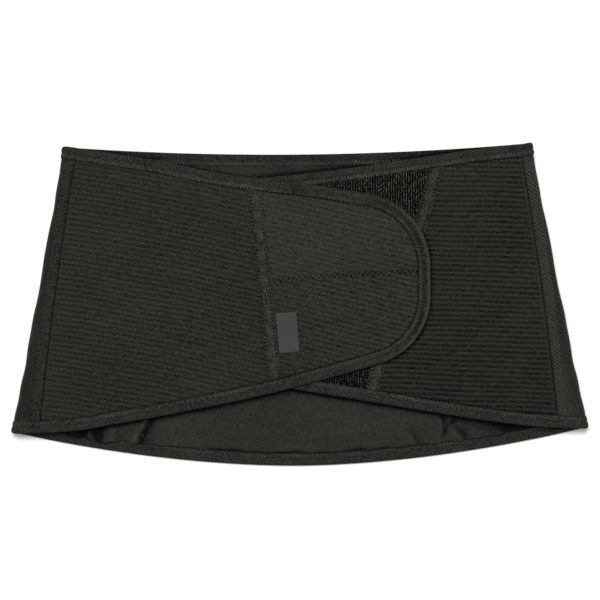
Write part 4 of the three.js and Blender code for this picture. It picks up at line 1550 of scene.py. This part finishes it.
class BELT_OT_bands(bpy.types.Operator):
    """Seam bands across the flaps and tapes along the side seams, with their running stitches"""

    bl_idname = "belt.bands"
    bl_label = "Bands and side tapes"

    def execute(self, context):
        self.band(
            "left_band", LEFT_BAND_LINE, LEFT_EDGE, LEFT_LEVEL, "left_seam_band", 41, ["left_flap", "tab"])
        self.band(
            "right_band", RIGHT_BAND_LINE, RIGHT_EDGE, RIGHT_LEVEL, "right_seam_band", 42, ["right_flap"])
        self.side_tape("left_side_strip", LEFT_SEAM, "left_side_tape", 43)
        self.side_tape("right_side_strip", RIGHT_SEAM, "right_side_tape", 44)
        return {"FINISHED"}

    def band(self, name, line, edge, level, node, seed, under):
        """A flat band along its line from binding to binding, its two long edges turned under."""
        inner = edge.moved_in(BINDING_WIDTH + GAP)
        right_half = np.array(BAND_SECTION)
        across_at, lift_at = np.vstack([right_half[::-1] * (-1, 1), right_half]).T
        rows = BAND_MESH_ROWS
        top, bottom = line
        y = np.linspace(bottom[1], top[1], BAND_TRIES)
        ends = []
        for across in across_at:
            held = np.flatnonzero(contains(inner, np.column_stack([line_x(line, y) + across, y])))
            ends.append((y[held[0]], y[held[-1]]))
        low, high = np.array(ends).T
        piece, column, row = start_grid(name, len(across_at) - 1, rows)
        y = lerp(low[column], high[column], row / rows)
        across = across_at[column]
        step = bpy.context.scene.belt_sizes.running_step / MM
        deep, spread = BAND_PULL
        pull = deep * bump_at(np.abs(across), BAND_ROW, spread) * (0.6 + 0.4 * np.cos(math.tau * y / step))
        lift = np.maximum(lift_at[column] - pull + waves("band_lift", y, across, seed), BAND_LEAST)
        x = line_x(line, y) + across + waves("band_sway", y, seed=seed)
        base = level + WALL / 2 + GAP
        thicken(piece, raised(x, y, base + lift), raised(x, y, base))
        set_uv(piece, np.tile(y, 2), np.tile(across, 2))
        # Painted shade where the stitches pull and on the turned edges
        tone = BAND_TONE["plain"] + BAND_TONE["pull"] * pull + waves("band_tone", y, across, seed)
        tone += BAND_TONE["right"] * smoothstep(across, *BAND_RIGHT)
        tone += BAND_TONE["edge"] * (np.abs(across) > BAND_EDGE)
        set_painted_light_and_tone(piece, np.tile(np.clip(tone, *BAND_TONE["limits"]), 2))
        finish_piece(piece, "seam_band", cloth("band"), replaced=[node])
        y_row = np.arange(max(low) + 0.5, min(high) - 0.5, step)
        for side, offset in (("left", -BAND_ROW), ("right", BAND_ROW)):
            points = raised(line_x(line, y_row) + offset, y_row, base + BAND_ROW_HEIGHT)
            running(f"{name}_{side}_stitches", points)

    def side_tape(self, name, seam, node, seed):
        """The tape from a side seam over the fold."""
        high = seam["top"][1] - seam["bottom"][1]
        margin = (BINDING_WIDTH + GAP) / high
        columns, rows = SIDE_TAPE_MESH
        piece, column, row = start_grid(name, columns, rows)
        near, far = SIDE_TAPE
        distance = lerp(near, far, column / columns)
        share = lerp(margin, 1 - margin, row / rows)
        edge_near = np.minimum(distance - near, far - distance)
        crown = BAND * lerp(*SIDE_TAPE_CROWN, smoothstep(edge_near, 0, SIDE_TAPE_EDGE))
        crown += waves("side_tape", share * high, distance, seed)
        middle = WALL / 2 + GAP

        def sheet_at(away):
            start = seam_reach(seam, share)
            leg = np.maximum(fold_axis(share) - start, 0)
            turn = np.maximum(distance - leg, 0) / FOLD_DEPTH
            x = start + np.minimum(distance, leg) + (FOLD_DEPTH + away) * np.sin(turn)
            z = FOLD_LEVEL - FOLD_HALF_HEIGHT + (FOLD_HALF_HEIGHT + away) * np.cos(turn)
            return np.column_stack([seam["side"] * x, lerp(seam["bottom"][1], seam["top"][1], share), z])

        thicken(piece, sheet_at(middle + crown), sheet_at(middle))
        side = seam["side"]
        if side < 0:
            face_outwards()
        set_uv(piece, np.tile(share * high, 2), np.tile(distance, 2))
        # Painted light on the tape's crown and painted shade at its low edges, with each side's own tone
        set_painted_light_and_tone(piece, np.tile(np.clip(0.4 + 0.3 * crown, 0, 1) + SIDE_TAPE_TONE[side], 2))
        finish_piece(piece, "seam_band", cloth("side" if side > 0 else "tape"), replaced=[node])


class BELT_OT_closure(bpy.types.Operator):
    """Loop face of the right flap, hook face under the tab, and the stitch row across the tab"""

    bl_idname = "belt.closure"
    bl_label = "Closure"

    def execute(self, context):
        self.loop_face()
        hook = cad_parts["hook_patch"]
        hook.data.materials.clear()
        hook.data.materials.append(cloth("ground"))
        self.tab_row(context.scene.belt_sizes)
        return {"FINISHED"}

    def tab_row(self, sizes):
        """The zigzag row across the tab, with a needle hole at each turn."""
        middle = evenly(np.array(TAB_ROW, float), ROW_STEP)
        along = directions(middle)
        way = np.where(np.arange(len(middle)) % 2 == 0, 1, -1)[:, None]
        half = sizes.zigzag_width / MM * ROW_HALF
        turns = middle + np.column_stack([-along[:, 1], along[:, 0]]) * way * half
        points = raised(turns[:, 0], turns[:, 1], LEFT_LEVEL + WALL / 2 - ROW_UNDER)
        ups = upwards(len(points))
        sew("tab_row_stitches", points[:-1], points[1:], ups[:-1], "thread", ROW_THREAD)
        prick("tab_row_holes", points - ups * ROW_UNDER, ups)

    def loop_face(self):
        """The round-ended panel with its loops, which stand only where the tab doesn't press on them."""
        band = lambda y: line_x(RIGHT_BAND_LINE, y) - GAP / 2
        start, end = edge_run(RIGHT_EDGE, EDGE_INSET, lambda x, y: x < band(y))
        tip = RIGHT_EDGE.far[np.argmin(RIGHT_EDGE.points[:, 0])]
        stretch = lambda run: RIGHT_EDGE.at(np.linspace(*run, LOOP_POINTS), EDGE_INSET, 0)[:, :2]
        top = stretch((start, tip - LOOP_CORNER))[::-1]
        left = stretch((tip - LOOP_CORNER, tip + LOOP_CORNER))[::-1]
        bottom = stretch((tip + LOOP_CORNER, end))
        right = upright(band, bottom[-1], top[-1])
        counts = (60, 60)
        piece, column, row = start_grid("loop_face", *counts)
        x, y = patch(bottom, top, left, right, column / counts[0], row / counts[1]).T
        high = RIGHT_LEVEL + WALL / 2 - LOOP_GROUND_UNDER + waves("loop_ground", x, y)
        thicken(piece, raised(x, y, high), raised(x, y, RIGHT_LEVEL - WALL / 2))
        finish_piece(piece, "loop_face", cloth("ground"), replaced=["loop_panel"])
        tufts = self.tufts()

    def tufts(self):
        """Loops in upright rows over the two corners of the loop face that show beside the tab."""
        pitch = bpy.context.scene.belt_sizes.loop_pitch / MM
        x, y = np.meshgrid(np.arange(*LOOPS_ACROSS, pitch), np.arange(*LOOPS_UP, pitch * LOOP_ROWS))
        spots = np.column_stack([x.ravel(), y.ravel()])
        spots += rng.normal(0, LOOP_PLACES, spots.shape)
        tab = LEFT_EDGE.moved_in(LOOPS_UNDER_TAB)
        cloth_edge = RIGHT_EDGE.moved_in(BINDING_WIDTH - LOOPS_UNDER_TAPE)
        free = contains(cloth_edge, spots) & ~contains(tab, spots)
        free &= spots[:, 0] < line_x(RIGHT_BAND_LINE, spots[:, 1]) - BAND_WIDTH / 2 + LOOPS_UNDER_BAND
        spots = spots[free]
        count = len(spots)
        turn = rng.normal(math.pi / 2, LOOP_TURNS, count)
        wide = rng.uniform(*LOOP_WIDTHS, count)[:, None]
        high = rng.uniform(*LOOP_HEIGHTS, count)[:, None]
        lean = rng.normal(0, LOOP_LEAN, (count, 2))
        across = raised(np.cos(turn), np.sin(turn), 0) * wide
        through = raised(-np.sin(turn), np.cos(turn), 0) * wide * LOOP_THICK
        tall = raised(lean[:, 0], lean[:, 1], 1) * high
        origins = raised(spots[:, 0], spots[:, 1], RIGHT_LEVEL + WALL / 2 - LOOP_UNDER)
        model = model_loop()
        piece = copies("loop_tufts", model, origins, across, through, tall)
        # Painted shadow of the tab on the loops in the lower corner
        painted_shadow_tone = np.where(spots[:, 1] > MID_HEIGHT, *LOOP_TONES) + rng.normal(0, LOOP_UNEVEN, count)
        set_painted_light_and_tone(piece, np.repeat(painted_shadow_tone, len(model[0])))
        return finish_piece(piece, "loop_face", cloth("loop"))


class BELT_OT_label(bpy.types.Operator):
    """Small woven label beside the left seam band, left bare"""

    bl_idname = "belt.label"
    bl_label = "Label"

    def execute(self, context):
        width, height = LABEL_SIZE
        counts = (18, 34)
        piece, column, row = start_grid("bare_label", *counts)
        u, v = column / counts[0], row / counts[1]
        turn = math.radians(LABEL_TURN)
        across, up = (u - 0.5) * width, (v - 0.5) * height
        x = LABEL_PLACE[0] + across * math.cos(turn) - up * math.sin(turn)
        y = LABEL_PLACE[1] + across * math.sin(turn) + up * math.cos(turn)
        rise = LABEL_RISE * smoothstep(u, 0.2, 1) + LABEL_BULGE * np.sin(math.pi * v)
        base = LEFT_LEVEL + WALL / 2 + GAP + rise + waves("label", across, up)
        rim = np.minimum(np.minimum(u, 1 - u) * width, np.minimum(v, 1 - v) * height)
        hem_height, hem_at, hem_spread = LABEL_HEM
        hem = hem_height * bump_at(rim, hem_at, hem_spread)
        thick = LABEL * lerp(*LABEL_THICK, smoothstep(rim, 0, 0.5))
        thicken(piece, raised(x, y, base + thick + hem), raised(x, y, base))
        # Painted light on the raised hem
        set_painted_light_and_tone(piece, np.tile(0.5 + hem, 2))
        finish_piece(piece, "label_satin", cloth("label"), replaced=["label"])
        return {"FINISHED"}


class BELT_OT_stage(bpy.types.Operator):
    """Plain floor, soft light and the camera"""

    bl_idname = "belt.stage"
    bl_label = "Stage"

    def execute(self, context):
        given = context.scene.belt_stage
        alone()
        bpy.ops.mesh.primitive_grid_add(x_subdivisions=4, y_subdivisions=4, size=FLOOR_WIDTH)
        floor = bpy.context.object
        floor.name = "floor"
        pale = bpy.data.materials.new("pale_floor")
        pale.use_nodes = True
        surface = pale.node_tree.nodes["Principled BSDF"]
        surface.inputs["Base Color"].default_value = (*context.scene.belt_colours.floor, 1)
        surface.inputs["Roughness"].default_value = 0.9
        surface.inputs["Specular IOR Level"].default_value = 0.1
        floor.data.materials.append(pale)
        self.light("key_light", *KEY_LIGHT, given.key)
        self.light("fill_light", *FILL_LIGHT, given.fill)
        self.sky(context, given.sky)
        self.camera(context, given)
        return {"FINISHED"}

    def light(self, name, place_at, wide, power):
        bpy.ops.object.light_add(type="AREA", location=place_at)
        lamp = bpy.context.object
        lamp.name = name
        lamp.data.size = wide
        lamp.data.energy = power
        lamp.rotation_euler = (-Vector(place_at)).to_track_quat("-Z", "Y").to_euler()

    def sky(self, context, strength):
        world = bpy.data.worlds.new("soft_room")
        world.use_nodes = True
        background = world.node_tree.nodes["Background"]
        background.inputs["Color"].default_value = (1, 1, 1, 1)
        background.inputs["Strength"].default_value = strength
        context.scene.world = world
        context.scene.view_settings.view_transform = "Standard"

    def camera(self, context, given):
        data = bpy.data.cameras.new("camera")
        data.lens = given.lens
        eye = bpy.data.objects.new("camera", data)
        context.scene.collection.objects.link(eye)
        middle = (CAD_LOW.z + CAD_HIGH.z) / 2
        eye.location = (*given.aim, middle + given.view_width * given.lens / data.sensor_width)
        eye.rotation_euler = (0, 0, -given.roll)
        data.clip_end = 50
        context.scene.camera = eye


class BELT_PT_sidebar(bpy.types.Panel):
    """The belt's pieces, sizes and colours"""

    bl_idname = "BELT_PT_sidebar"
    bl_label = "Lower back support"
    bl_space_type = "VIEW_3D"
    bl_region_type = "UI"
    bl_category = "Belt"

    def draw(self, context):
        for operator in OPERATORS:
            self.layout.operator(operator.bl_idname)
        for group in (context.scene.belt_sizes, context.scene.belt_colours, context.scene.belt_stage):
            box = self.layout.box()
            for name in group.__annotations__:
                box.prop(group, name)


GROUP_NAMES = {"belt_sizes": BeltSizes, "belt_colours": BeltColours, "belt_stage": BeltStage}
OPERATORS = (
    BELT_OT_back, BELT_OT_bands, BELT_OT_flaps, BELT_OT_bindings, BELT_OT_closure, BELT_OT_label,
    BELT_OT_stage)
CLASSES = (*GROUP_NAMES.values(), *OPERATORS, BELT_PT_sidebar)


def register():
    for cls in CLASSES:
        bpy.utils.register_class(cls)
    for name, group in GROUP_NAMES.items():
        setattr(bpy.types.Scene, name, PointerProperty(type=group))


def unregister():
    for name in GROUP_NAMES:
        delattr(bpy.types.Scene, name)
    for cls in reversed(CLASSES):
        bpy.utils.unregister_class(cls)


def main():
    register()
    bpy.ops.belt.back()
    bpy.ops.belt.bands()
    bpy.ops.belt.flaps()
    bpy.ops.belt.bindings()
    bpy.ops.belt.closure()
    bpy.ops.belt.label()
    bpy.ops.belt.stage()


if __name__ == "__main__":
    main()
